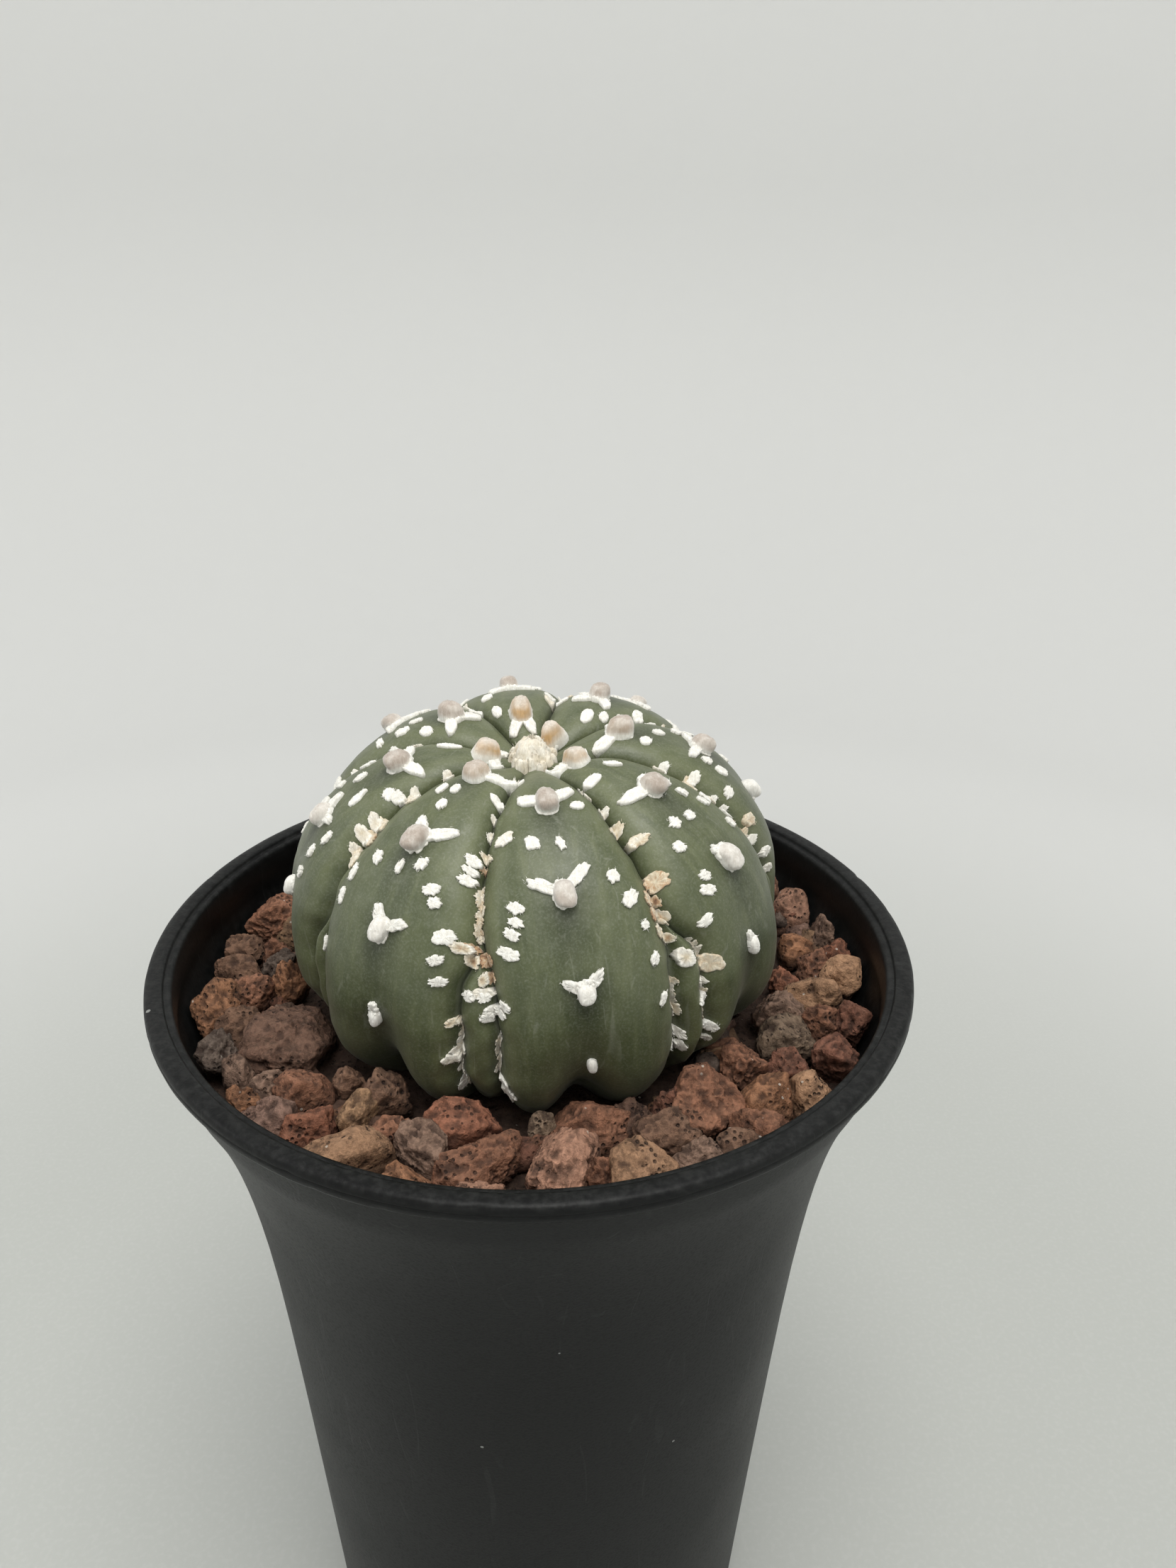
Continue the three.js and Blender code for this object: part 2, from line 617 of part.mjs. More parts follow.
// Angular lump, pulled in where it would touch the pot or the soil
function stoneGeometry(stone, random) {
  const [x, y, long, wide, turn] = stone;
  const large = long > largeStone;
  const geometry = merged(new THREE.IcosahedronGeometry(1, large ? 1 : 0));
  const position = geometry.attributes.position;
  const tall = stoneDepth + stoneTallness * wide;
  const middle = stoneTop + stoneLift * wide + stoneUneven * (random() - 0.5) - tall / 2;
  const point = new THREE.Vector3();
  for (let i = 0; i < position.count; i += 1) {
    const swell = stoneSwell.least + stoneSwell.range * random();
    point.fromBufferAttribute(position, i).multiplyScalar(swell);
    point.set(point.x * long / 2, point.y * wide / 2, point.z * tall / 2);
    point.applyAxisAngle(new THREE.Vector3(0, 0, 1), radians(turn));
    point.add(new THREE.Vector3(x, y, middle));
    point.z = Math.max(point.z, soilTop + gap + 0.3);
    const limit = innerRadius(point.z) - stoneClearance;
    const reach = Math.min(1, limit / Math.hypot(point.x, point.y));
    position.setXYZ(i, point.x * reach, point.y * reach, point.z);
  }
  return geometry;
}

function backStones(random) {
  const rows = [];
  for (const { radius, from, to, step, size } of backRings) {
    for (let degrees = from; degrees < to; degrees += step) {
      const angle = radians(degrees + 3 * random());
      const away = radius + random() - 0.5;
      const long = size * (0.85 + 0.4 * random());
      rows.push([away * Math.cos(angle), away * Math.sin(angle), long, long * 0.8, 180 * random()]);
    }
  }
  return rows;
}

function gravelGeometry() {
  const random = seeded(7);
  const base = soilTop + gap;
  const edge = innerRadius(soilTop) - gap;
  const bed = [[bedInner, base], [edge, base], [edge + 0.5, bedTop], [bedInner, bedTop], [bedInner, base]];
  const rows = [...stones, ...backStones(random)];
  const lumps = rows.map((row) => stoneGeometry(row, random));
  const layer = fused([revolved(bed, potSides), ...lumps]);
  return toGeometry(layer.subtract(toSolid(seatGeometry(seatGap))));
}

function piece(name, geometry, roughness) {
  const material = new THREE.MeshStandardMaterial({ color: colours[name], roughness, metalness: 0 });
  geometry.computeVertexNormals();
  const mesh = new THREE.Mesh(geometry, material);
  mesh.name = name;
  return mesh;
}

const pottedCactus = new THREE.Group();
pottedCactus.add(piece('pot', potGeometry(), 0.55));
pottedCactus.add(piece('soil', soilGeometry(), 0.95));
pottedCactus.add(piece('gravel', gravelGeometry(), 0.95));

const cactus = piece('cactus', cactusGeometry(), 0.7);
cactus.quaternion.copy(leanTurn());
cactus.position.copy(bodyCentre);
pottedCactus.add(cactus);

export default pottedCactus;
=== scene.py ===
import math

import bmesh
import bpy
import numpy as np
from mathutils import Matrix, Vector, noise


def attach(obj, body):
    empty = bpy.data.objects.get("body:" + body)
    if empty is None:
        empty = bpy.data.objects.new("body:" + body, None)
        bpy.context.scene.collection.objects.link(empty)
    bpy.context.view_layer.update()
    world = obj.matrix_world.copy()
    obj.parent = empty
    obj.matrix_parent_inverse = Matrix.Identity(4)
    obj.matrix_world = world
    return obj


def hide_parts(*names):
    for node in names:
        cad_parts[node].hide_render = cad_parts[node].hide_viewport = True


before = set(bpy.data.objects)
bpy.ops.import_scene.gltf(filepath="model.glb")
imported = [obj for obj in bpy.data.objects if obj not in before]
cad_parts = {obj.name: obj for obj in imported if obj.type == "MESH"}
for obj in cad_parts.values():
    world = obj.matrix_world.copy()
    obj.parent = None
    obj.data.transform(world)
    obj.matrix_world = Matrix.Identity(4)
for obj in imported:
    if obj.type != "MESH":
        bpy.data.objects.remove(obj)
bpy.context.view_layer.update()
mm = 0.001
print("frame loaded")

# Studio: the camera, a pale floor that curves up into a wall all round, and soft lights
studio = {
    "cameraPlace": (7.43, -142.14, 229.93),
    "cameraPlace": (7.43, -142.14, 229.93),
    "cameraRight": (0.9999, 0.0049, 0.0104),
    "cameraUp": (-0.0115, 0.4261, 0.9046),
    "lens": 27.03,
    "sensor": 36,
    "nearAndFar": (0.005, 10),
    "floorReach": 430,
    "floorCurve": 260,
    "wallTop": 950,
    "floorSides": 96,
    # floor colour near the pot: partly the greyer table, partly painted shade round the pot
    "tableAndShadeColour": (0.44, 0.452, 0.43, 1),
    "boardColour": (0.615, 0.62, 0.61, 1),
    "skyColour": (0.975, 0.985, 1.0),
    "skyStrength": 0.78,
    "aim": (0, 0, 120),
    "lamps": [  # name, place, width, watts, colour
        ("overheadSoftbox", (70, -290, 1060), 620, 7.3, (1.0, 0.985, 0.95)),
        ("leftSoftbox", (-560, -60, 450), 420, 0.5, (0.98, 0.99, 1.0)),
    ],
}


def addCamera():
    data = bpy.data.cameras.new("camera")
    data.sensor_width, data.lens = studio["sensor"], studio["lens"]
    data.clip_start, data.clip_end = studio["nearAndFar"]
    camera = bpy.data.objects.new("camera", data)
    right = Vector(studio["cameraRight"]).normalized()
    back = right.cross(Vector(studio["cameraUp"])).normalized()
    turned = Matrix((right, back.cross(right), back)).transposed().to_4x4()
    camera.matrix_world = Matrix.Translation(Vector(studio["cameraPlace"]) * mm) @ turned
    bpy.context.collection.objects.link(camera)
    bpy.context.scene.camera = camera


def addLamp(name, place, width, watts, colour):
    data = bpy.data.lights.new(name, "AREA")
    data.shape, data.size, data.energy, data.color = "DISK", width * mm, watts, colour
    lamp = bpy.data.objects.new(name, data)
    lamp.location = Vector(place) * mm
    aim = Vector(studio["aim"]) * mm - lamp.location
    lamp.rotation_euler = aim.to_track_quat("-Z", "Y").to_euler()
    lamp.visible_camera = False
    bpy.context.collection.objects.link(lamp)


addCamera()
for lamp in studio["lamps"]:
    addLamp(*lamp)
world = bpy.data.worlds.new("paleSky")
bpy.context.scene.world = world
world.use_nodes = True
background = world.node_tree.nodes["Background"].inputs
background["Color"].default_value = (*studio["skyColour"], 1)
background["Strength"].default_value = studio["skyStrength"]
bpy.context.scene.view_settings.view_transform = "Standard"
print("camera and lights placed")


# Shader nodes
def addNode(tree, kind, inputs=None, **settings):
    made = tree.nodes.new("ShaderNode" + kind)
    for name, value in settings.items():
        setattr(made, name, value)
    for key, value in (inputs or {}).items():
        if isinstance(value, bpy.types.NodeSocket):
            tree.links.new(value, made.inputs[key])
        else:
            made.inputs[key].default_value = value
    return made


def calc(tree, operation, *values):
    return addNode(tree, "Math", dict(enumerate(values)), operation=operation).outputs[0]


def times(tree, *values):
    return calc(tree, "MULTIPLY", *values)


def inverse(tree, value):
    return calc(tree, "SUBTRACT", 1.0, value)


def blend(tree, factor, first, second, kind="MIX"):
    inputs = {0: factor, 6: first, 7: second}
    return addNode(tree, "Mix", inputs, data_type="RGBA", blend_type=kind).outputs[2]


def ramp(tree, value, low, high, start=0.0, end=1.0):
    inputs = {0: value, 1: low, 2: high, 3: start, 4: end}
    return addNode(tree, "MapRange", inputs, interpolation_type="SMOOTHSTEP").outputs[0]


def layered(tree, base, *layers):  # each layer is a mask, how much of it counts, and a colour
    for mask, amount, shade in layers:
        base = blend(tree, times(tree, mask, amount), base, shade)
    return base


def colour(red, green, blue):
    return (red, green, blue, 1)


def newGroup(name, inputs, outputs):
    tree = bpy.data.node_groups.new(name, "ShaderNodeTree")
    for label, value in inputs.items():
        socket = tree.interface.new_socket(label, in_out="INPUT", socket_type="NodeSocketFloat")
        socket.default_value = value
    for label in outputs:
        tree.interface.new_socket(label, in_out="OUTPUT", socket_type="NodeSocketFloat")
    return tree, tree.nodes.new("NodeGroupInput").outputs, tree.nodes.new("NodeGroupOutput").inputs


def useGroup(tree, group, **inputs):
    return addNode(tree, "Group", inputs, node_tree=group).outputs


def objectPlace(tree):
    return addNode(tree, "TexCoord").outputs["Object"]


def attribute(tree, name, output="Fac"):
    return addNode(tree, "Attribute", attribute_name=name).outputs[output]


def stretched(tree, place, turn=(0, 0, 0), scale=(1, 1, 1)):
    return addNode(tree, "Mapping", {"Vector": place, "Rotation": turn, "Scale": scale}).outputs[0]


def noiseMap(tree, scale, detail, roughness=0.5, place=None, distortion=0.0):
    place = objectPlace(tree) if place is None else place
    return addNode(tree, "TexNoise", {
        "Vector": place, "Scale": scale, "Detail": detail, "Roughness": roughness, "Distortion": distortion,
    }).outputs[0]


def cellMap(tree, scale, channel=0):  # distance from the middle of each cell, and a number for each cell
    cells = addNode(tree, "TexVoronoi", {"Vector": objectPlace(tree), "Scale": scale, "Randomness": 1.0})
    chances = addNode(tree, "SeparateColor", {0: cells.outputs["Color"]}).outputs
    return cells.outputs["Distance"], chances[channel]


def buildFineGrain():  # even speckle, with a height for the bump
    tree, given, put = newGroup("fineGrain", {"Scale": 2000, "Roughness": 0.6}, ["Height", "Mask"])
    grain = noiseMap(tree, given["Scale"], 3.0, given["Roughness"])
    tree.links.new(grain, put["Height"])
    tree.links.new(ramp(tree, grain, 0.45, 0.68), put["Mask"])
    return tree


def buildSettledDust():  # dust that lies on what faces up, in patches
    tree, given, put = newGroup("settledDust", {"Scale": 300, "Amount": 0.5}, ["Mask"])
    facing = addNode(tree, "SeparateXYZ", {0: addNode(tree, "NewGeometry").outputs["Normal"]}).outputs["Z"]
    patches = noiseMap(tree, given["Scale"], 5.0, 0.7)
    lying = times(tree, ramp(tree, facing, -0.2, 0.9), ramp(tree, patches, 0.38, 0.68))
    tree.links.new(times(tree, lying, given["Amount"]), put["Mask"])
    return tree


def buildFineScratches():  # short thin marks along stretched noise contours
    tree, given, put = newGroup("fineScratches", {"Scale": 60, "Width": 0.012, "Spread": 0.6}, ["Mask"])
    low = inverse(tree, given["Spread"])
    marks = []
    for turn in (0.35, 1.25, 2.3):
        turned = stretched(tree, objectPlace(tree), (0.4 * turn, turn, 0.9 * turn), (1, 1, 0.13))
        lines = noiseMap(tree, given["Scale"], 1.0, place=turned)
        away = calc(tree, "ABSOLUTE", calc(tree, "SUBTRACT", lines, 0.5))
        thin = inverse(tree, ramp(tree, away, 0.0, given["Width"]))
        sparse = noiseMap(tree, times(tree, given["Scale"], 9.0), 0.0, place=turned)
        marks.append(times(tree, thin, ramp(tree, sparse, low, calc(tree, "ADD", low, 0.06))))
    most = calc(tree, "MAXIMUM", calc(tree, "MAXIMUM", marks[0], marks[1]), marks[2])
    tree.links.new(most, put["Mask"])
    return tree


def buildFeltFibre():  # matted short fibres that lie every way
    tree, given, put = newGroup("feltFibre", {"Scale": 1500}, ["Height", "Mask"])
    strands = []
    for turn in (0.2, 1.3, 2.4):
        turned = stretched(tree, objectPlace(tree), (turn, 1.7 * turn, 0.6 * turn), (1, 1, 0.22))
        strands.append(noiseMap(tree, given["Scale"], 2.0, place=turned, distortion=0.8))
    most = calc(tree, "MAXIMUM", calc(tree, "MAXIMUM", strands[0], strands[1]), strands[2])
    tree.links.new(most, put["Height"])
    tree.links.new(ramp(tree, most, 0.5, 0.68), put["Mask"])
    return tree


fineGrain = buildFineGrain()
settledDust = buildSettledDust()
fineScratches = buildFineScratches()
feltFibre = buildFeltFibre()


def newMaterial(name, **constants):
    material = bpy.data.materials.new(name)
    material.use_nodes = True
    tree = material.node_tree
    shader = tree.nodes["Principled BSDF"]
    for key, value in constants.items():
        shader.inputs[key.replace("_", " ")].default_value = value
    return material, tree, shader


def finishMaterial(tree, shader, base, roughness, height, strength, distance):
    bump = addNode(tree, "Bump", {"Strength": strength, "Distance": distance * mm, "Height": height})
    tree.links.new(base, shader.inputs["Base Color"])
    tree.links.new(roughness, shader.inputs["Roughness"])
    tree.links.new(bump.outputs[0], shader.inputs["Normal"])


# Meshes
def softStep(value):
    t = np.clip(value, 0, 1)
    return t * t * (3 - 2 * t)


def noiseAt(points, size, shift=0.0, octaves=1, lift=0.8):
    places = (np.asarray(points) / size + shift).tolist()
    return np.array([noise.fractal(place, lift, 2.0, octaves) for place in places])


def evenTurns(count):
    return np.arange(count) * 2 * np.pi / count


def squared(turns, power):  # edge of a rounded square, at each turn
    return (np.abs(np.cos(turns)) ** power + np.abs(np.sin(turns)) ** power) ** (-1 / power)


def polarPlace(radius, angle, height):
    return radius * math.cos(angle), radius * math.sin(angle), height


def lone(*values):  # single values, as arrays
    return [np.array([float(value)]) for value in values]


def capped(first, rings, last):  # values for a pole, rings of points and a pole
    return np.concatenate([[first], rings.ravel(), [last]])


def ringFaces(rows, columns, flip=False):  # faces over a pole, rings of points from top to bottom, and a pole
    faces = []
    last = 1 + rows * columns
    for i in range(columns):
        j = (i + 1) % columns
        faces.append((0, 1 + i, 1 + j))
        faces.append((last - columns + i, last, last - columns + j))
    for row in range(rows - 1):
        a = 1 + row * columns
        for i in range(columns):
            j = (i + 1) % columns
            faces.append((a + i, a + columns + i, a + columns + j, a + j))
    return [face[::-1] for face in faces] if flip else faces


class Heap:  # gathers many small closed forms into one mesh
    def __init__(self):
        self.points, self.faces, self.values, self.count = [], [], [], 0

    def add(self, points, faces, **values):
        self.faces += [[corner + self.count for corner in face] for face in faces]
        self.points.append(np.asarray(points, float))
        self.count += len(points)
        self.values.append({})
        for name, value in values.items():
            value = np.asarray(value, float)
            if value.ndim == 0 or value.shape[0] != len(points):
                value = np.broadcast_to(value, (len(points), *value.shape))
            self.values[-1][name] = value


def makePiece(name, heap, material, node):
    mesh = bpy.data.meshes.new(name)
    mesh.from_pydata((np.concatenate(heap.points) * mm).tolist(), [], heap.faces)
    for label in heap.values[0]:
        parts = [given.get(label, np.zeros(len(points))) for points, given in zip(heap.points, heap.values)]
        value = np.concatenate(parts).astype(np.float32)
        kind, field = ("FLOAT", "value") if value.ndim == 1 else ("FLOAT_VECTOR", "vector")
        mesh.attributes.new(label, kind, "POINT").data.foreach_set(field, value.ravel())
    mesh.polygons.foreach_set("use_smooth", [True] * len(mesh.polygons))
    mesh.materials.append(material)
    mesh.update()
    piece = bpy.data.objects.new(name, mesh)
    bpy.context.collection.objects.link(piece)
    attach(piece, "root")
    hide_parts(node)
    print(name, len(mesh.vertices), "points")
    return piece


def revolved(pairs, sides):  # rings of points round Z from (radius, height) pairs, first and last on the axis
    turns = evenTurns(sides)
    rings = [np.stack([r * np.cos(turns), r * np.sin(turns), np.full(sides, z)], 1) for r, z in pairs[1:-1]]
    return np.concatenate([[(0, 0, pairs[0][1])], *rings, [(0, 0, pairs[-1][1])]])


# Pot: one thin moulding with a flared wall, a rounded lip and an inner step
pot = {
    "height": 140,
    "rim": 52.5,
    "neck": 43.35,
    "taper": 0.0587,
    "flare": 11.27,
    "flareLength": 16.49,
    "wall": 1.3,
    "foot": 3.8,
    "recess": 3,
    "floor": 4.6,
    "drains": [(0, 0), (20, 0), (0, 20), (-20, 0), (0, -20)],
    "drainRadius": 3.4,
    "sides": 288,
    "burr": 0.03,
    "lipStart": (2.7, 50.6),  # below the top, out from the middle
    "nickDepth": 2.2,
    "waviness": 0.25,
    "scratched": 0.35,
    "dusty": 0.085,
    "chipped": 0.5,
    "chipChance": 0.84,
    "wallDepths": [36, 31, 27, 23, 20, 17, 14.5, 12, 10, 8.5, 7, 5.5, 4, 3.1, 2.75],
    # in from the rim and below the top, over the lip from outside to inside
    "lip": [
        (1.05, 2.58), (0.6, 2.54), (0.28, 2.4), (0.08, 2.05), (0, 1.6), (0.01, 1.3), (0.09, 1.2),
        (0.02, 1.1), (0.07, 0.7), (0.2, 0.35), (0.45, 0.12), (0.85, 0.02), (1.4, 0), (2.05, 0.03),
        (2.35, 0.1), (2.5, 0.28), (2.56, 0.55), (2.68, 0.64), (2.86, 0.6), (3.2, 0.62), (3.46, 0.75),
        (3.62, 1.05), (3.72, 1.6), (3.82, 2.6), (3.9, 4),
    ],
    "insideDepths": [6, 7.5, 10, 13, 17, 22, 30, 40, 55, 75, 95, 115, 132],
    "black": colour(0.003, 0.0032, 0.0033),
    "worn": colour(0.02, 0.021, 0.021),
    "chalk": colour(0.42, 0.43, 0.41),
}


def wallRadius(height):
    below = height - pot["height"]
    flared = pot["neck"] + pot["taper"] * below + pot["flare"] * math.exp(below / pot["flareLength"])
    return min(flared, pot["rim"] - 0.4 + 0.3 * max(below, -9))


def innerRadius(height):
    return wallRadius(height) - pot["wall"]


def potOutline():
    top, inner = pot["height"], wallRadius(0) - pot["foot"]
    outer, recess, level = wallRadius(0), pot["recess"], pot["floor"]
    under = [(0, recess), (12, recess), (24, recess), (inner - 0.5, recess), (inner, recess - 0.3)]
    ring = [
        (inner + 0.2, 0.5), (inner + 0.5, 0.06), (inner + 0.9, 0), (outer - 1.0, 0), (outer - 0.45, 0.07),
        (outer - 0.12, 0.4), (wallRadius(1), 1),
    ]
    heights = [2, 6, 12, 20, 32, 44, 56, 68, 80, 90, 98] + [top - depth for depth in pot["wallDepths"]]
    wall = [(wallRadius(height), height) for height in heights]
    lip = [(pot["rim"] - inward, top - below) for inward, below in pot["lip"]]
    inside = [(innerRadius(top - depth), top - depth) for depth in pot["insideDepths"]]
    edge = innerRadius(level)
    floor = [(edge - 0.2, level + 0.5), (edge - 0.8, level), (24, level), (12, level), (0, level)]
    return under + ring + wall + lip + inside + floor


def buildPot(material):
    outline = potOutline()
    points = revolved(outline, pot["sides"])
    turn = np.arctan2(points[:, 1], points[:, 0])
    reach = np.hypot(points[:, 0], points[:, 1])
    below, out = pot["lipStart"]
    onLip = softStep((points[:, 2] - pot["height"] + below) / 0.5) * softStep((reach - out) / 1.4)
    around = np.stack([np.cos(turn), np.sin(turn), points[:, 2] * 0.02], 1)
    rough = noiseAt(around, 0.09, 3.1, 3)
    nicks = -pot["nickDepth"] * np.clip(noiseAt(around, 0.035, 8.7, 1) - 0.42, 0, 1)
    soft = pot["waviness"] * noiseAt(around, 1.1, 5.3, 1) * softStep((points[:, 2] - 20) / 100) * (reach > 30)
    swell = 1 + (onLip * (pot["burr"] * rough + nicks * 0.3) + soft * (1 - onLip)) / np.maximum(reach, 1)
    points[:, :2] *= np.minimum(swell, pot["rim"] / np.maximum(reach, 1))[:, None]
    heap = Heap()
    heap.add(points, ringFaces(len(outline) - 2, pot["sides"], flip=True))
    piece = makePiece("potShell", heap, material, "pot")
    cutter = bmesh.new()
    for x, y in pot["drains"]:
        place = Matrix.Translation(Vector((x, y, 3)) * mm)
        bmesh.ops.create_cone(cutter, cap_ends=True, segments=32, radius1=pot["drainRadius"] * mm,
                              radius2=pot["drainRadius"] * mm, depth=8 * mm, matrix=place)
    cutterMesh = bpy.data.meshes.new("drains")
    cutter.to_mesh(cutterMesh)
    cutter.free()
    drains = bpy.data.objects.new("drains", cutterMesh)
    bpy.context.collection.objects.link(drains)
    cut = piece.modifiers.new("drains", "BOOLEAN")
    cut.operation, cut.solver, cut.object = "DIFFERENCE", "EXACT", drains
    bpy.context.view_layer.update()
    shaped = bpy.data.meshes.new_from_object(piece.evaluated_get(bpy.context.evaluated_depsgraph_get()))
    piece.modifiers.clear()
    piece.data = shaped
    bpy.data.objects.remove(drains)


def potPlastic():
    material, tree, shader = newMaterial("potPlastic", Specular_IOR_Level=0.15)
    grain = useGroup(tree, fineGrain, Scale=2600, Roughness=0.55)
    clouds = noiseMap(tree, 38.0, 4.0)
    scratch = useGroup(tree, fineScratches, Scale=70, Width=0.006, Spread=0.42)["Mask"]
    dust = useGroup(tree, settledDust, Scale=900, Amount=0.35)["Mask"]
    distance, chance = cellMap(tree, 190.0)
    chip = times(tree, calc(tree, "LESS_THAN", distance, times(tree, clouds, 0.1)),
                 calc(tree, "GREATER_THAN", chance, pot["chipChance"]))
    base = blend(tree, ramp(tree, clouds, 0.35, 0.75, 0.0, 0.3), pot["black"], pot["worn"])
    base = layered(tree, base, (scratch, pot["scratched"], pot["worn"]), (dust, pot["dusty"], pot["chalk"]),
                   (chip, pot["chipped"], pot["chalk"]))
    roughness = calc(tree, "ADD", ramp(tree, clouds, 0.3, 0.7, 0.4, 0.48), times(tree, grain["Mask"], 0.06))
    height = calc(tree, "SUBTRACT", grain["Height"], times(tree, scratch, 0.5))
    finishMaterial(tree, shader, base, roughness, height, 0.35, 0.06)
    return material


buildPot(potPlastic())
print("pot made")

# Cactus body: the smooth outline by arc length from the crown, and the relief of its eight ribs
body = {
    "ribs": 8,
    "firstRib": 12,
    "centre": (0.45, 3.74, pot["height"] + 1.57),
    "lean": (-0.02, -0.11),
    "radius": 35.16,
    "topHeight": 28.92,
    "bottomHeight": 19.84,
    "roundness": 2.268,
    "crownDip": 4.58,
    "crownDipRadius": 8.66,
    "bottomAngle": 72,
    "rootRadius": 8.5,
    "rootDepth": 31,
    "furrowDepth": [(0, 0), (3, 0.6), (8, 1.3), (20, 2), (35, 2.8), (50, 3.6), (62, 3.2), (83, 0.8)],
    "furrowWidth": [(0, 0.6), (8, 0.9), (20, 1.3), (35, 1.7), (50, 2)],
    "ribBulge": [(0, 0), (8, 0.4), (20, 0.9), (40, 1.3), (60, 1.6), (83, 0.5)],
    "valleyDepth": [(28, 0), (38, 0.6), (45, 1.3), (52, 2.8), (60, 4.4), (70, 3.5), (83, 1)],
    "valleyWidth": 0.3,
    "valleyShare": [1, 0.8, 0.9, 1.1, 0.8, 1, 0.7, 1.1],
    "stripGrowth": 11,
    "strips": [  # narrow ribs in the lower furrows: start along the arc, left and right edge in degrees
        (31, 1.2, 6.5), (34, 2.5, 4.5), (33, 3.5, 3), (36, 2, 5),
        (32, 4, 3), (35, 3, 4), (36, 3.4, 3.4), (31, 2.8, 5.8),
    ],
    "crease": 0.55,
    "creaseWidth": 0.22,
    "wander": 0.2,
    "bends": {  # where a furrow leaves its even place: arc and millimetres, by furrow
        1: [(12, 0), (20, 0.5), (30, 0.7), (40, 1.2), (60, 1.5)],
        2: [(6, 0.2), (16, 0.7), (24, 1.2), (30, 1.6), (60, 1.6)],
        7: [(6, -0.4), (14, -1), (24, -1.4), (30, -2), (60, -2)],
        8: [(5, -0.3), (12, -0.7), (23, -1.3), (30, -0.4), (36, -0.6), (44, -1), (60, -0.9)],
    },
}


def along(pairs, place):
    return np.interp(place, *zip(*pairs))


def bodyOutline():
    power = 2 / body["roundness"]
    down = np.radians(np.linspace(0, 90, 361))
    radius = body["radius"] * np.sin(down) ** power
    dip = body["crownDip"] * np.exp(-(radius / body["crownDipRadius"]) ** 2)
    height = body["topHeight"] * np.clip(np.cos(down), 0, 1) ** power - dip
    under = np.radians(np.linspace(0, body["bottomAngle"], 361))[1:]
    radius = np.concatenate([radius, body["radius"] * np.cos(under) ** power])
    height = np.concatenate([height, -body["bottomHeight"] * np.sin(under)])
    arc = np.concatenate([[0], np.cumsum(np.hypot(np.diff(radius), np.diff(height)))])
    return arc, radius, height


outlineArc, outlineRadius, outlineHeight = bodyOutline()
leanAxis = Vector((-body["lean"][1], body["lean"][0], 0))
leanTurn = np.array(Matrix.Rotation(math.hypot(*body["lean"]), 3, leanAxis))
bodyCentre = np.array(body["centre"])
ribAngle = 360 / body["ribs"]
stripStart, stripLeft, stripRight = np.array(body["strips"], float).T


def radiusAt(arc):
    return np.interp(arc, outlineArc, outlineRadius)


def furrowShift(arc, index):  # where a furrow lies beside its even place, in degrees
    sway = body["wander"] * (np.sin(0.52 * arc + 2.1 * index) + 0.5 * np.sin(1.35 * arc + 4.7 * index))
    shift = softStep((arc - 8) / 12) * sway
    for furrow, pairs in body["bends"].items():
        shift = shift + np.where(index == furrow - 1, along(pairs, arc), 0)
    return np.degrees(shift / np.maximum(radiusAt(arc), 2))


def ribPlace(arc, azimuth):  # rib from 0, place across it from -1 to 1, millimetres to the nearest furrow
    turned = (azimuth - body["firstRib"]) / ribAngle
    rib = np.round(turned)
    across = (turned - rib) * 2
    index = rib.astype(int) % body["ribs"]
    least = np.full(np.shape(arc), 1e9)
    for after, side in ((index, 1), ((index - 1) % body["ribs"], -1)):
        share = softStep((arc - stripStart[after]) / body["stripGrowth"])
        offset = (across - side) * ribAngle / 2 - furrowShift(arc, after)
        least = np.minimum(least, np.abs(offset + stripLeft[after] * share))
        least = np.minimum(least, np.abs(offset - stripRight[after] * share))
    return index, across, np.radians(least) * radiusAt(arc)


def relief(arc, azimuth):  # how far the skin lies inside the smooth outline
    index, across, furrow = ribPlace(arc, azimuth)
    groove = along(body["furrowDepth"], arc) * np.exp(-furrow / along(body["furrowWidth"], arc))
    crease = body["crease"] * softStep(arc / 10) * np.exp(-(furrow / body["creaseWidth"]) ** 2)
    bulge = along(body["ribBulge"], arc) * np.abs(across) ** 3
    share = np.array(body["valleyShare"])[index]
    valley = along(body["valleyDepth"], arc) * share * np.exp(-(across / body["valleyWidth"]) ** 2)
    return groove + crease + bulge + valley


def ontoBody(arc, azimuth, lift):  # place above the smooth outline, in the frame's millimetres
    before, after = np.maximum(arc - 0.4, 0), arc + 0.4
    slopeR = radiusAt(after) - radiusAt(before)
    slopeZ = np.interp(after, outlineArc, outlineHeight) - np.interp(before, outlineArc, outlineHeight)
    length = np.hypot(slopeR, slopeZ)
    slopeR, slopeZ = slopeR / length, slopeZ / length
    turn = np.radians(azimuth)
    radius = radiusAt(arc) - slopeZ * lift
    height = np.interp(arc, outlineArc, outlineHeight) + slopeR * lift
    local = np.stack([radius * np.sin(turn), -radius * np.cos(turn), height], -1)
    return local @ leanTurn.T + bodyCentre


def ribAzimuth(rib, across=0.0):
    return body["firstRib"] + (rib - 1 + across / 2) * ribAngle


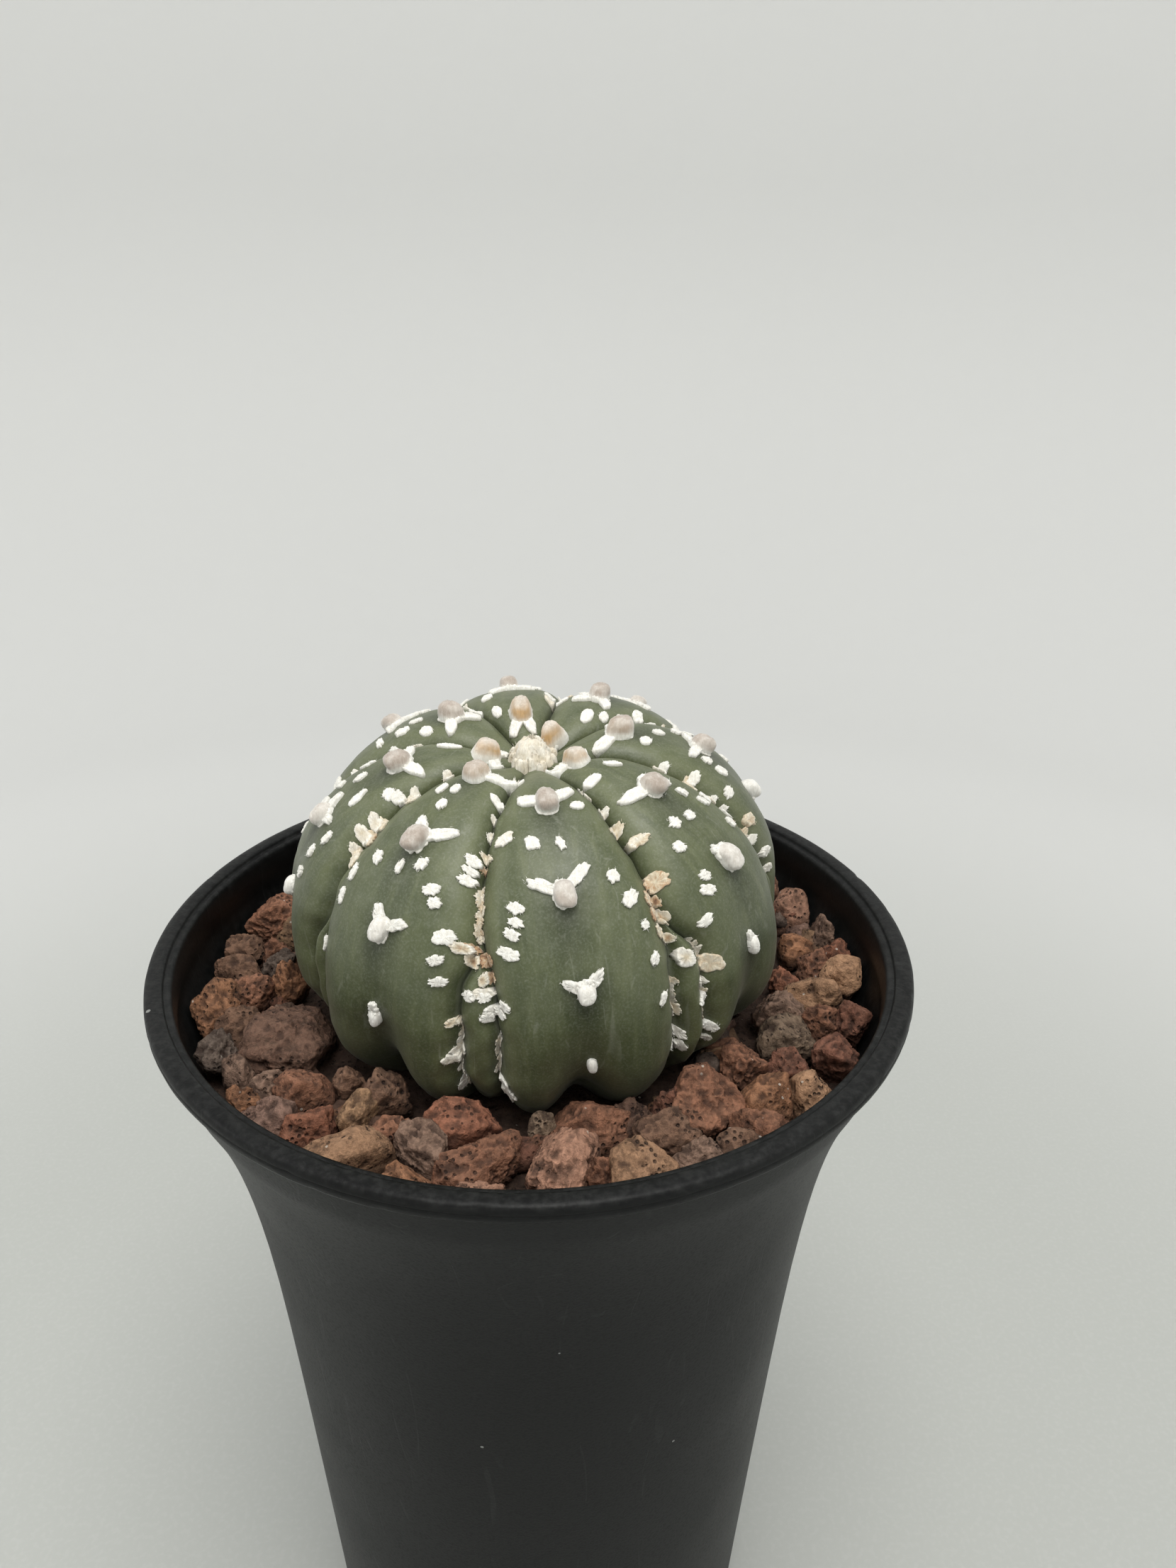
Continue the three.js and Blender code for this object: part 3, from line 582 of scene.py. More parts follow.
# Areoles stand one by one down the arc, and each next one is three ribs on
areoles = {
    "seed": 9,
    "count": 32,
    "start": 3.28,
    "step": 1.49,
    "young": 10,
    "lastArmed": 18,
    "armed": (21, 24),
    "ruledArm": (3.4, 58),
    "youngForm": (2.7, 2.4, 0.4),  # width, rise, lean
    "oldForm": (2.5, 2.2, 0.5),
    "fade": (0.03, 0.06),  # width and rise lost by each older one
    "fibres": {"dome": 26, "arm": 10, "saddle": 12, "skirt": 16},
    # number: across, further down, width, rise, lean down, left arm (length, angle from the crown), right arm
    "seen": {
        1: (0, 0, 2.5, 3, 0.1, (2.6, 30), (3.2, 42)),
        2: (-0.15, 0, 2.5, 2.4, 0.2, (3.0, 40), (2.6, 60)),
        3: (0.08, -0.6, 2.4, 2.2, 0.3, (3.6, 52), (3.0, 85)),
        4: (0, 0, 2.6, 2.4, 0.3, (3.4, 28), (3.4, 34)),
        5: (-0.25, 0, 2.6, 2.1, 0.5, (2.4, 60), (4.6, 76)),
        6: (0, 0, 2.8, 2.5, 0.4, (4.2, 40), (2.4, 78)),
        7: (0, 0, 2.6, 2.4, 0.3, (3.2, 40), (3.4, 62)),
        8: (-0.1, -0.2, 2.6, 2.2, 0.6, (3.1, 78), (3.5, 66)),
        9: (0, 0, 2.5, 2.4, 0.3, (3.2, 58), (3.4, 44)),
        10: (0.05, -0.5, 2.6, 2.2, 0.5, (3.2, 66), (3.6, 58)),
        11: (0.06, -1.2, 2.7, 2.2, 0.6, (4.6, 82), (2.4, 112)),
        13: (-0.12, 0.2, 2.6, 2.2, 0.8, (2.4, 30), (4.4, 62)),
        14: (0, 0, 2.4, 2.2, 0.5, (3.4, 58), (2.4, 60)),
        16: (-0.06, 0.4, 2.5, 2.1, 0.8, (4.2, 70), (3.9, 48)),
        18: (0, 0, 2.4, 1.8, 0.4, (2.8, 20), (2.0, 75)),
        19: (0.12, -0.3, 2.7, 2, 0.7, (1.6, 35), None),
        21: (-0.06, 0, 2.3, 1.6, 0.4, (2.3, 30), (3.1, 62)),
        22: (0, -1.0, 2.3, 1.7, 0.4, None, None),
        24: (0.04, 0.3, 2.1, 1.4, 0.5, (2.5, 62), (2.5, 44)),
        27: (0, 0, 1.6, 1.2, 0.3, (1.3, 5), None),
        29: (-0.04, 0.5, 1.5, 1.1, 0.3, (1.4, 5), None),
        32: (0.08, 0.2, 1.3, 0.9, 0.2, None, None),
    },
}


def areolePlace(n):
    across, further = areoles["seen"][n][:2] if n in areoles["seen"] else (0, 0)
    return areoles["start"] + areoles["step"] * n + further, ribAzimuth(3 * n % body["ribs"] + 1, across)


# Skin: one fine net whose columns follow the furrows
skin = {
    "ribColumns": 44,
    "stripColumns": 9,
    "rows": 176,
    "roll": 0.11,
    "roll": 0.11,
    "rollSize": 6,
    "shadeLength": (3.5, 0.16),  # at the crown, and more by each millimetre of arc
    "shadeWidth": (1.8, 0.03),
    "gather": 0.72,  # how much closer the columns stand by the furrows
    "stripGap": 0.3,
    "cloudy": 0.4,
    "streaky": 0.5,
    # painted shade: the skin is darkened along the valley down each rib's middle, below each areole and
    # towards the bottom of the ribs
    "valleyShade": 0.75,
    "areoleShadeStrength": 0.85,
    "lowShade": 0.22,
    # painted highlight: a pale band along each rib shoulder, a few millimetres in from the furrow
    "shoulderHighlight": 0.45,
    "greyEdge": 0.22,
    "mealy": 0.16,
    "dusty": 0.16,
    "scratched": 0.2,
    "green": colour(0.06, 0.074, 0.029),
    # the green that is painted in as shade
    "shadeGreen": colour(0.017, 0.024, 0.007),
    "paleGreen": colour(0.132, 0.148, 0.07),
    "greyBloom": colour(0.29, 0.3, 0.25),
}


def columnAzimuths(arc):
    radius = max(float(radiusAt(arc)), 0.5)
    least = min(math.degrees(skin["stripGap"] / radius), 2.5)  # keeps the two edges of a strip apart
    shift = furrowShift(np.full(body["ribs"], arc), np.arange(body["ribs"]))
    share = softStep((arc - stripStart) / body["stripGrowth"])
    left = np.maximum(stripLeft * share, least) - shift
    right = np.maximum(stripRight * share, least) + shift
    steps = np.arange(skin["ribColumns"]) / skin["ribColumns"]
    steps = steps - skin["gather"] * np.sin(2 * np.pi * steps) / (2 * np.pi)
    strip = np.arange(skin["stripColumns"]) / skin["stripColumns"]
    azimuths = []
    for rib in range(body["ribs"]):
        middle = body["firstRib"] + rib * ribAngle
        start, end = middle - ribAngle / 2 + right[rib - 1], middle + ribAngle / 2 - left[rib]
        following = middle + ribAngle / 2 + right[rib]
        azimuths += [start + (end - start) * steps, end + (following - end) * strip]
    return np.concatenate(azimuths)


def shadeUnderAreoles(arc, azimuth):
    shade = np.zeros(arc.shape)
    long, wide = skin["shadeLength"], skin["shadeWidth"]
    for n in range(5, areoles["count"]):
        place, turn = areolePlace(n)
        away = (azimuth - turn + 180) % 360 - 180
        sideways = np.radians(away) * radiusAt(arc)
        below = (arc - place) / (long[0] + long[1] * place)
        drop = np.where(below > 0, np.exp(-below ** 2), np.exp(-(below * 4) ** 2))
        shade = np.maximum(shade, drop * np.exp(-(sideways / (wide[0] + wide[1] * place)) ** 2))
    return shade


def buildSkin(material):
    arcs = np.linspace(0.5, outlineArc[-1], skin["rows"])
    azimuth = np.concatenate([columnAzimuths(arc) for arc in arcs])
    columns = len(azimuth) // len(arcs)
    arc = np.repeat(arcs, columns)
    index, across, furrow = ribPlace(arc, azimuth)
    smooth = ontoBody(arc, azimuth, 0 * arc)
    roll = skin["roll"] * noiseAt(smooth, skin["rollSize"], 4.4, 3)
    points = ontoBody(arc, azimuth, roll - relief(arc, azimuth))
    neck = []
    for height in (-body["bottomHeight"], -body["rootDepth"]):
        turn = np.radians(azimuth[-columns:])
        ring = np.stack([np.sin(turn), -np.cos(turn), np.full(columns, height / body["rootRadius"])], 1)
        neck.append(ring * body["rootRadius"] @ leanTurn.T + bodyCentre)
    top = ontoBody(*lone(0, 0, 0))
    bottom = np.array([[0, 0, -body["rootDepth"] - 1]]) @ leanTurn.T + bodyCentre
    padding = np.zeros(2 * columns + 1)
    place = np.stack([across * np.radians(ribAngle / 2) * radiusAt(arc), arc, index * 9.7], 1)
    valley = along(body["valleyDepth"], arc) / 4.4 * np.exp(-(across / body["valleyWidth"]) ** 2)
    heap = Heap()
    heap.add(
        np.concatenate([top, points, *neck, bottom]), ringFaces(len(arcs) + 2, columns),
        nearFurrow=np.concatenate([[0], np.clip(furrow, 0, 6) / 6, padding]),
        midline=np.concatenate([[0], valley, padding]),
        areoleShade=np.concatenate([[0], shadeUnderAreoles(arc, azimuth), padding]),
        skinPlace=np.concatenate([[(0, 0, 0)], place, np.zeros((2 * columns + 1, 3))]),
    )
    makePiece("cactusSkin", heap, material, "cactus")


def cactusSkin():
    constants = {"Specular_IOR_Level": 0.5, "Sheen_Weight": 0.05, "Sheen_Roughness": 0.5}
    material, tree, shader = newMaterial("cactusSkin", **constants)
    near = attribute(tree, "nearFurrow")
    place = attribute(tree, "skinPlace", "Vector")
    lower = ramp(tree, addNode(tree, "SeparateXYZ", {0: place}).outputs["Y"], 22.0, 48.0)
    streaks = noiseMap(tree, 0.9, 4.0, 0.6, stretched(tree, place, scale=(1, 0.16, 1)))
    clouds = noiseMap(tree, 130.0, 4.0, 0.6)
    grain = useGroup(tree, fineGrain, Scale=3600, Roughness=0.6)
    pores = useGroup(tree, fineGrain, Scale=1500, Roughness=0.4)
    dust = useGroup(tree, settledDust, Scale=420, Amount=0.6)["Mask"]
    scratch = useGroup(tree, fineScratches, Scale=110, Width=0.007, Spread=0.4)["Mask"]
    base = blend(tree, ramp(tree, clouds, 0.3, 0.72, 0.0, skin["cloudy"]), skin["green"], skin["paleGreen"])
    base = blend(tree, ramp(tree, streaks, 0.44, 0.7, 0.0, skin["streaky"]), base, skin["paleGreen"])
    # painted shade: darker along the rib valleys, below the areoles and lower down the ribs
    dark = calc(tree, "MAXIMUM", times(tree, attribute(tree, "midline"), skin["valleyShade"]),
                times(tree, attribute(tree, "areoleShade"), skin["areoleShadeStrength"]))
    dark = calc(tree, "MAXIMUM", dark, times(tree, lower, skin["lowShade"]))
    base = blend(tree, dark, base, skin["shadeGreen"])
    # painted highlight: a pale band along each rib shoulder
    highlightBand = times(tree, ramp(tree, near, 0.1, 0.26), inverse(tree, ramp(tree, near, 0.3, 0.62)))
    edge = times(tree, inverse(tree, ramp(tree, near, 0.035, 0.085)), lower)
    base = layered(tree, base, (highlightBand, skin["shoulderHighlight"], skin["paleGreen"]),
                   (edge, skin["greyEdge"], skin["greyBloom"]))
    # painted shade: the skin darkens sharply right at each furrow crease
    crease = calc(tree, "SUBTRACT", 0.8, ramp(tree, near, 0.0, 0.04, 0.0, 0.8))
    base = blend(tree, crease, base, skin["shadeGreen"])
    for mask, amount in ((grain["Mask"], "mealy"), (dust, "dusty"), (scratch, "scratched")):
        base = layered(tree, base, (mask, skin[amount], skin["greyBloom"]))
    height = calc(tree, "ADD", times(tree, grain["Height"], 0.5), pores["Height"])
    finishMaterial(tree, shader, base, ramp(tree, clouds, 0.3, 0.7, 0.42, 0.52), height, 0.4, 0.09)
    return material


buildSkin(cactusSkin())
print("skin made")

# White flecks: thin wafers of matted fibre with torn edges
felt = {
    "rise": 0.38,
    "root": 0.55,
    "fibre": 0.045,
    "columns": 44,
    "rings": [(0.4, 1.0), (0.78, 0.99), (0.93, 0.9), (1.0, 0.6), (1.01, 0.2), (0.98, -0.3), (0.75, -0.8)],
    "sag": 0.45,
    "corners": 7,
    "teeth": 0.27,
    "white": colour(0.87, 0.865, 0.82),
    "cream": colour(0.74, 0.655, 0.5),
    "tan": colour(0.52, 0.34, 0.2),
    "brown": colour(0.25, 0.14, 0.08),
    "greige": colour(0.46, 0.4, 0.35),
    "darkGreige": colour(0.32, 0.26, 0.215),
    "youngTan": colour(0.6, 0.39, 0.19),
    # painted shade between the fibres
    "fibreGapShade": colour(0.55, 0.51, 0.45),
    # by rib: place across it from -1 to 1, arc, length, width, turn in degrees, tone from white to brown
    "flecks": {
        1: [
            (-0.95, 9.2, 2, 1, 120), (-0.86, 20, 2.7, 1.9, 115, 0.12), (-0.42, 21, 2.2, 1.8, 45),
            (0, 21.3, 2.1, 1.2, 15), (0.5, 16.2, 2, 1.3, 85), (0.57, 26.6, 2, 1.7, 150),
            (0.68, 29.7, 2.9, 2, 120), (-0.62, 29, 2.3, 1.6, 75), (-0.61, 30.7, 2.2, 1.3, 70),
            (-0.65, 32.1, 2.3, 1.4, 65), (-0.68, 34.4, 3.1, 1.6, 75), (0.76, 33.3, 1.5, 1.3, 0),
            (0.77, 37.7, 1.9, 1.4, 155), (0.79, 43.2, 2.1, 1.3, 140), (-0.72, 41.3, 1.8, 1.4, 55),
            (-0.93, 35.7, 2.2, 2, 0, 0.7), (-0.88, 38, 2, 1.5, 20, 0.62), (-0.93, 39.9, 3, 1.5, 90, 0.12),
            (-0.86, 42.6, 2, 1.6, 75), (0.97, 30.5, 2.3, 1.5, 10, 0.55), (0.97, 32.5, 2.1, 1.4, -15, 0.6),
            (0.97, 35, 2.2, 1.5, 10, 0.35),
        ],
        2: [
            (0.22, 12.4, 2.6, 1, 20), (-0.68, 12.4, 2.6, 1.8, 70), (-0.95, 20.3, 2.5, 1.8, 120, 0.28),
            (-0.8, 23.2, 3, 1.6, 80, 0.3), (-0.2, 23.9, 2, 1.7, 60), (-0.4, 26.7, 1.9, 1.6, 60),
            (0.12, 24.5, 1.9, 1.5, 45), (0.44, 21.9, 1.9, 1.2, 15), (0.6, 24.8, 2.1, 0.95, 12),
            (0.75, 25, 2.1, 1, -8), (0.7, 29.6, 2.2, 1.5, 20), (-0.86, 28.9, 3.1, 2.7, 90, 0.5),
            (-0.33, 31.3, 1.9, 1.5, 80), (-0.38, 33, 2.6, 1.6, 60), (-0.55, 36.2, 2.2, 1.5, 110),
            (0.9, 18, 2, 1.4, 30, 0.15), (0.9, 26.3, 2, 1.3, 40, 0.15), (0.88, 29, 2.4, 1.3, 20),
            (-0.56, 42.4, 3.5, 2.8, 60, 0.34), (-0.65, 44.9, 2.2, 1.6, 40, 0.08), (-0.68, 47.4, 2.7, 1.5, 70),
        ],
        3: [
            (-0.35, 15.6, 1.8, 1.7, 0), (0.1, 18, 1.8, 1.4, 0), (-0.3, 24.8, 2, 1.3, 20),
            (-0.35, 27.3, 2.3, 1.6, 20), (-0.65, 28.8, 1.8, 1.7, 90), (-0.88, 23, 2.8, 2.6, 0, 0.3),
            (-0.9, 32, 3, 1.8, 10, 0.75), (-0.85, 34.8, 2.6, 2.2, 0, 0.35),
        ],
        4: [(-0.45, 11, 3, 1.7, 20)],
        5: [(0.72, 11.5, 2.8, 1.2, 0)],
        6: [(0.22, 19.3, 2.4, 1.3, 10)],
        7: [
            (-0.42, 11.2, 3.4, 1.3, 0), (0.85, 12.6, 2, 1.5, 30, 0.15), (0.9, 18.6, 2.3, 2, 0, 0.2),
            (0.6, 20.6, 2.1, 1.8, 0), (-0.55, 23, 2.6, 1, 0), (-0.2, 23.7, 2.4, 1.4, 0),
            (0.27, 24.6, 3.3, 1.3, 10), (0.88, 23.9, 2.6, 1.8, 60, 0.3), (0.9, 26.3, 3, 2.2, 90, 0.42),
            (0.9, 29.7, 3.2, 2.6, 40, 0.3), (0.42, 30.8, 2.2, 1.1, 0), (0.3, 34, 2, 1.2, 0),
            (0.3, 37.4, 1.8, 1.4, 0),
        ],
        8: [
            (-0.55, 15.5, 2.2, 1.1, 0), (-0.25, 14.7, 1.9, 1.2, 10), (-0.2, 17.6, 1.8, 1.4, 0),
            (0.75, 13.8, 2.4, 1.4, 60), (-0.53, 27.3, 2.2, 1.7, 30), (-0.8, 30.6, 2.6, 1.4, 20),
            (-0.77, 33.9, 2.2, 1.3, 20), (-0.15, 27, 2, 1, 0), (0.13, 25.7, 2.2, 1.6, 147),
            (0.38, 28.2, 2.3, 1.5, 110), (0.46, 29.7, 2, 1.5, 110), (0.74, 23.3, 2.3, 1.6, 80),
            (0.74, 24.7, 2.4, 1.1, 80), (0.74, 26, 2.5, 1.6, 85), (0.88, 23.8, 1.2, 0.8, 0, 0.55),
            (0.66, 33.3, 3.1, 2.1, 100), (0.6, 36.2, 2.2, 1.3, 110), (0.64, 38.9, 2.3, 1.4, 100),
            (0.8, 49.8, 2.2, 1.6, 80, 0.1), (-0.85, 41.5, 2.4, 1.3, 0), (0.9, 34.4, 2.6, 1.6, 75, 0.62),
            (-1, 43.5, 1.8, 1.3, 20, 0.6),
        ],
    },
    # ribs away from the viewer take their flecks by rule: from, to, count
    "scattered": {
        3: (0.2, 0.85, 6), 4: (-0.85, 0.85, 13), 5: (-0.85, 0.85, 13), 6: (-0.85, 0.85, 13),
        7: (-0.85, -0.3, 4),
    },
    "seed": 5,
    "scatterSeed": 11,
    "scatterArcs": (13, 31),  # first arc, and how much further they reach
    "apart": 3.2,
    "besideKnobs": 2.6,
    "plain": 0.02,
}


def seeded(state):  # repeatable numbers from 0 to 1, the same as the part's own
    while True:
        state = (state * 1664525 + 1013904223) % 4294967296
        yield state / 4294967296


padFaces = ringFaces(len(felt["rings"]), felt["columns"])


def localRing(arc, azimuth, down, across):
    place = np.maximum(arc + down, 0.2)
    return place, azimuth + np.degrees(across / max(float(radiusAt(arc)), 1))


def turnedBy(turn, forward, sideways):  # way down the arc and across it
    angle = math.radians(turn)
    down = forward * math.cos(angle) - sideways * math.sin(angle)
    return down, forward * math.sin(angle) + sideways * math.cos(angle)


def tornEdge(chance, around, long, wide, ragged, square):  # corners, teeth and a cleft, as shares of the size
    corners = felt["corners"]
    places = (np.arange(corners) + chance.uniform(0.1, 0.9, corners)) * 2 * np.pi / corners
    facing = np.cos(around[:, None] - places)
    cuts = chance.uniform(0.84, 1.04, corners) / np.maximum(facing, 0.3)
    flats = np.min(np.where(facing > 0.3, cuts, 9), 1)
    local = np.hypot(long / 2 * np.cos(around), wide / 2 * np.sin(around))
    teeth = np.repeat(chance.uniform(-1, 0.5, len(around) // 2), 2) * (0.4 + 0.6 * np.abs(np.cos(around)))
    away = (around - chance.uniform(0, 6.3) + np.pi) % (2 * np.pi) - np.pi
    cleft = 0.35 * np.exp(-(away / 0.15) ** 2)
    return np.minimum(squared(around, square), flats) + ragged * (felt["teeth"] * teeth - cleft * 0.6) / local


def addPad(heap, chance, arc, azimuth, long, wide, turn, tone, rise=1.0, taper=0.0, square=2.2, hollow=0.0):
    columns = felt["columns"]
    ragged = float(softStep((arc - 12) / 12)) * 0.8 + 0.2
    around = evenTurns(columns)
    edge = tornEdge(chance, around, long, wide, ragged, square)
    shares, lifts = np.array(felt["rings"]).T[:, :, None]
    radius = shares * (1 + (edge - 1) * np.minimum(shares, 1) ** 2)
    forward = long / 2 * radius * np.cos(around)
    sideways = wide / 2 * radius * np.sin(around) * (1 - taper * forward / long)
    down, across = (capped(0, way, 0) for way in turnedBy(turn, forward, sideways))
    lifts = lifts * felt["rise"] * rise
    lifts = lifts * (1 + 0.2 * chance.uniform(-1, 1, radius.shape))
    lifts = lifts * (1 + 0.4 * chance.uniform(-1, 1) * forward / long)
    lifts = lifts - hollow * 0.3 * felt["rise"] * np.clip(1 - shares, 0, 1) * (lifts > 0)
    lifts = capped(felt["rise"] * rise * (1 - 0.5 * hollow), lifts, -felt["root"])
    place, turned = localRing(arc, azimuth, down, across)
    middle = relief(*lone(arc, azimuth))[0]
    depth = np.minimum(relief(place, turned), np.where(lifts > 0, middle + felt["sag"], 9))
    inward = capped(1, np.repeat(1 - shares[:, 0], columns), 0)
    tones = tone * (1 + 0.35 * chance.uniform(-1, 1, len(down)))
    tones = tones + 0.8 * hollow * softStep((inward - 0.3) / 0.6)
    heap.add(ontoBody(place, turned, lifts - depth), padFaces, tone=tones)


def addFibres(heap, chance, arc, azimuth, long, wide, turn, count, tone=0.0, length=0.38, high=0.35):
    middle = ontoBody(*lone(arc, azimuth, -1.0))[0]
    for i in range(count):
        around = chance.uniform(0, 2 * np.pi)
        reach = chance.uniform(0.8, 1.02)
        forward, sideways = long / 2 * reach * math.cos(around), wide / 2 * reach * math.sin(around)
        place, turned = lone(*localRing(arc, azimuth, *turnedBy(turn, forward, sideways)))
        foot = ontoBody(place, turned, chance.uniform(0.1, high) - relief(place, turned))[0]
        heading = foot - middle
        heading = heading / np.linalg.norm(heading) + 0.5 * chance.normal(size=3)
        heading /= np.linalg.norm(heading)
        aside = np.cross(heading, chance.normal(size=3))
        aside /= np.linalg.norm(aside)
        other = np.cross(heading, aside)
        corners = [math.cos(a) * aside + math.sin(a) * other for a in (0, 2.09, 4.19)]
        base = [foot - 0.1 * heading + felt["fibre"] * corner for corner in corners]
        tip = foot + heading * length * chance.uniform(0.5, 1.1)
        heap.add([*base, tip], [(0, 2, 1), (0, 1, 3), (1, 2, 3), (2, 0, 3)], tone=tone)


def addTuft(heap, chance, place, count, tone, length=0.38, high=0.35, **form):  # a pad with fibres round it
    addPad(heap, chance, *place, tone=tone, **form)
    addFibres(heap, chance, *place, count=count, tone=tone, length=length, high=high)


def scatteredPlaces():  # kept clear of each other and of the knobs on the rib's middle
    draw = seeded(felt["scatterSeed"])
    first, further = felt["scatterArcs"]
    rows = []
    for rib, (start, end, count) in felt["scattered"].items():
        taken = []
        tries = 0
        while len(taken) < count and tries < 400:
            tries += 1
            across = start + (end - start) * next(draw)
            arc = first + further * next(draw)
            side = across * float(radiusAt(arc)) * math.radians(ribAngle / 2)
            free = all(math.hypot(x - side, y - arc) > felt["apart"] for x, y in taken)
            if not free or abs(side) < felt["besideKnobs"]:
                continue
            taken.append((side, arc))
            long = 1.8 + 0.9 * next(draw)
            rows.append((arc, ribAzimuth(rib, across), long, long * 0.7, 180 * next(draw)))
    return rows


def feltColours(tree, tone, *stops):
    shades = addNode(tree, "ValToRGB", {0: tone})
    shades.color_ramp.elements[0].color = stops[0][1]
    shades.color_ramp.elements[1].color = stops[-1][1]
    for place, shade in stops[1:-1]:
        shades.color_ramp.elements.new(place).color = shade
    return shades.outputs[0]


def finishFelt(tree, shader, base, fibre, smoothest, strength, distance):
    # painted shade: the gaps between the fibres are darkened
    thin = times(tree, inverse(tree, fibre["Mask"]), 0.3)
    base = blend(tree, thin, base, felt["fibreGapShade"], "MULTIPLY")
    roughness = ramp(tree, fibre["Mask"], 0.0, 1.0, 0.95, smoothest)
    finishMaterial(tree, shader, base, roughness, fibre["Height"], strength, distance)


def woolFelt():
    constants = {"Specular_IOR_Level": 0.15, "Sheen_Weight": 0.25, "Sheen_Roughness": 0.6}
    material, tree, shader = newMaterial("woolFelt", **constants)
    fibre = useGroup(tree, feltFibre, Scale=2600)
    blotch = noiseMap(tree, 900.0, 3.0)
    tone = times(tree, attribute(tree, "tone"), ramp(tree, blotch, 0.3, 0.7, 0.6, 1.35))
    base = feltColours(tree, tone, (0.0, felt["white"]), (0.32, felt["cream"]), (0.68, felt["tan"]),
                       (1.0, felt["brown"]))
    finishFelt(tree, shader, base, fibre, 0.8, 0.8, 0.2)
    return material


def buildFlecks(material):
    chance = np.random.default_rng(felt["seed"])
    heap = Heap()
    for rib, rows in felt["flecks"].items():
        for across, arc, long, wide, turn, *tone in rows:
            place = (arc, ribAzimuth(rib, across), long, wide, turn)
            addTuft(heap, chance, place, 9 if arc > 18 else 3, tone[0] if tone else felt["plain"])
    for place in scatteredPlaces():
        addTuft(heap, chance, place, 7, felt["plain"])
    makePiece("whiteFlecks", heap, material, "cactus")


woolMaterial = woolFelt()
buildFlecks(woolMaterial)
print("flecks made")

# Knobs: domed felt, and two flat white arms that open towards the crown from a saddle behind the dome
knobs = {
    "columns": 36,
    "rings": [
        (0.28, 0.99), (0.52, 0.955), (0.72, 0.88), (0.87, 0.75), (0.96, 0.58), (1.0, 0.4), (1.0, 0.22),
        (0.98, 0.06), (0.93, -0.2),
    ],
    "root": 0.8,
    "square": 2.7,
    "armWidth": 1.6,
    # by number
    "tone": [(1, 0.22), (4, 0.32), (6, 0.5), (13, 0.5), (18, 0.3), (22, 0.08)],
    "warm": [(1, 1.0), (4, 0.95), (5, 0.4), (7, 0)],
    "flare": [(1, 0.75), (5, 0.45), (8, 0.1)],
    # by width
    "stretch": [(1.5, 1.7), (1.8, 1.3), (2.6, 1.3), (3.0, 1.12)],
    "armShare": [(1.5, 0.8), (3.3, 1.25)],
}
knobFaces = ringFaces(len(knobs["rings"]), knobs["columns"])


def addKnob(heap, chance, arc, azimuth, width, rise, lean, tone, stretch=1.12, warm=0.0, flare=0.0):
    around = evenTurns(knobs["columns"])
    shares, lifts = np.array(knobs["rings"]).T[:, :, None]
    lifts = lifts * np.ones(len(around))
    edge = squared(around, knobs["square"])
    oval = 0.04 * np.cos(2 * around + chance.uniform(0, 6.3))
    edge += oval + 0.03 * np.cos(3 * around + chance.uniform(0, 6.3))
    radius = width / 2 * shares * edge * (1 + 0.03 * chance.uniform(-1, 1, lifts.shape))
    radius = radius * (1 + flare * np.clip(0.75 - lifts, 0, 0.75) ** 2)
    down = radius * stretch * np.cos(around) + lean * np.clip(lifts, 0, 1)
    across = radius * np.sin(around)
    height = lifts * rise * (1 + 0.035 * chance.uniform(-1, 1, lifts.shape))
    down, across = capped(lean, down, 0), capped(0, across, 0)
    height = capped(rise, height, -knobs["root"])
    place, turned = localRing(arc, azimuth, down, across)
    middle = relief(*lone(arc, azimuth))[0]
    depth = np.where(height > 0.3, middle, relief(place, turned))
    domed = capped(1, lifts, 0)
    spot = np.exp(-((domed - 0.6) / 0.33) ** 2) * (0.75 + 0.25 * np.clip(-(down - lean) / width * 2, -1, 1))
    heap.add(
        ontoBody(place, turned, height - depth), knobFaces,
        tone=tone * softStep((domed - 0.12) / 0.4), warm=warm * spot,
    )


def addArm(heap, chance, arc, azimuth, reach, angle, width):
    tilt = math.radians(abs(angle))
    middle = 0.35 + reach / 2
    down, across = -middle * math.cos(tilt), math.copysign(middle * math.sin(tilt), angle)
    place, turned = localRing(arc, azimuth, down, across)
    lying = (float(place), float(turned), reach + 1.0, width, -angle)
    count = areoles["fibres"]["arm"]
    addTuft(heap, chance, lying, count, felt["plain"], high=0.6, rise=1.5, taper=0.12, square=4.0)


def armsOf(n):
    if n in areoles["seen"]:
        return areoles["seen"][n][5:]
    armed = n <= areoles["lastArmed"] or n in areoles["armed"]
    return (areoles["ruledArm"], areoles["ruledArm"]) if armed else (None, None)


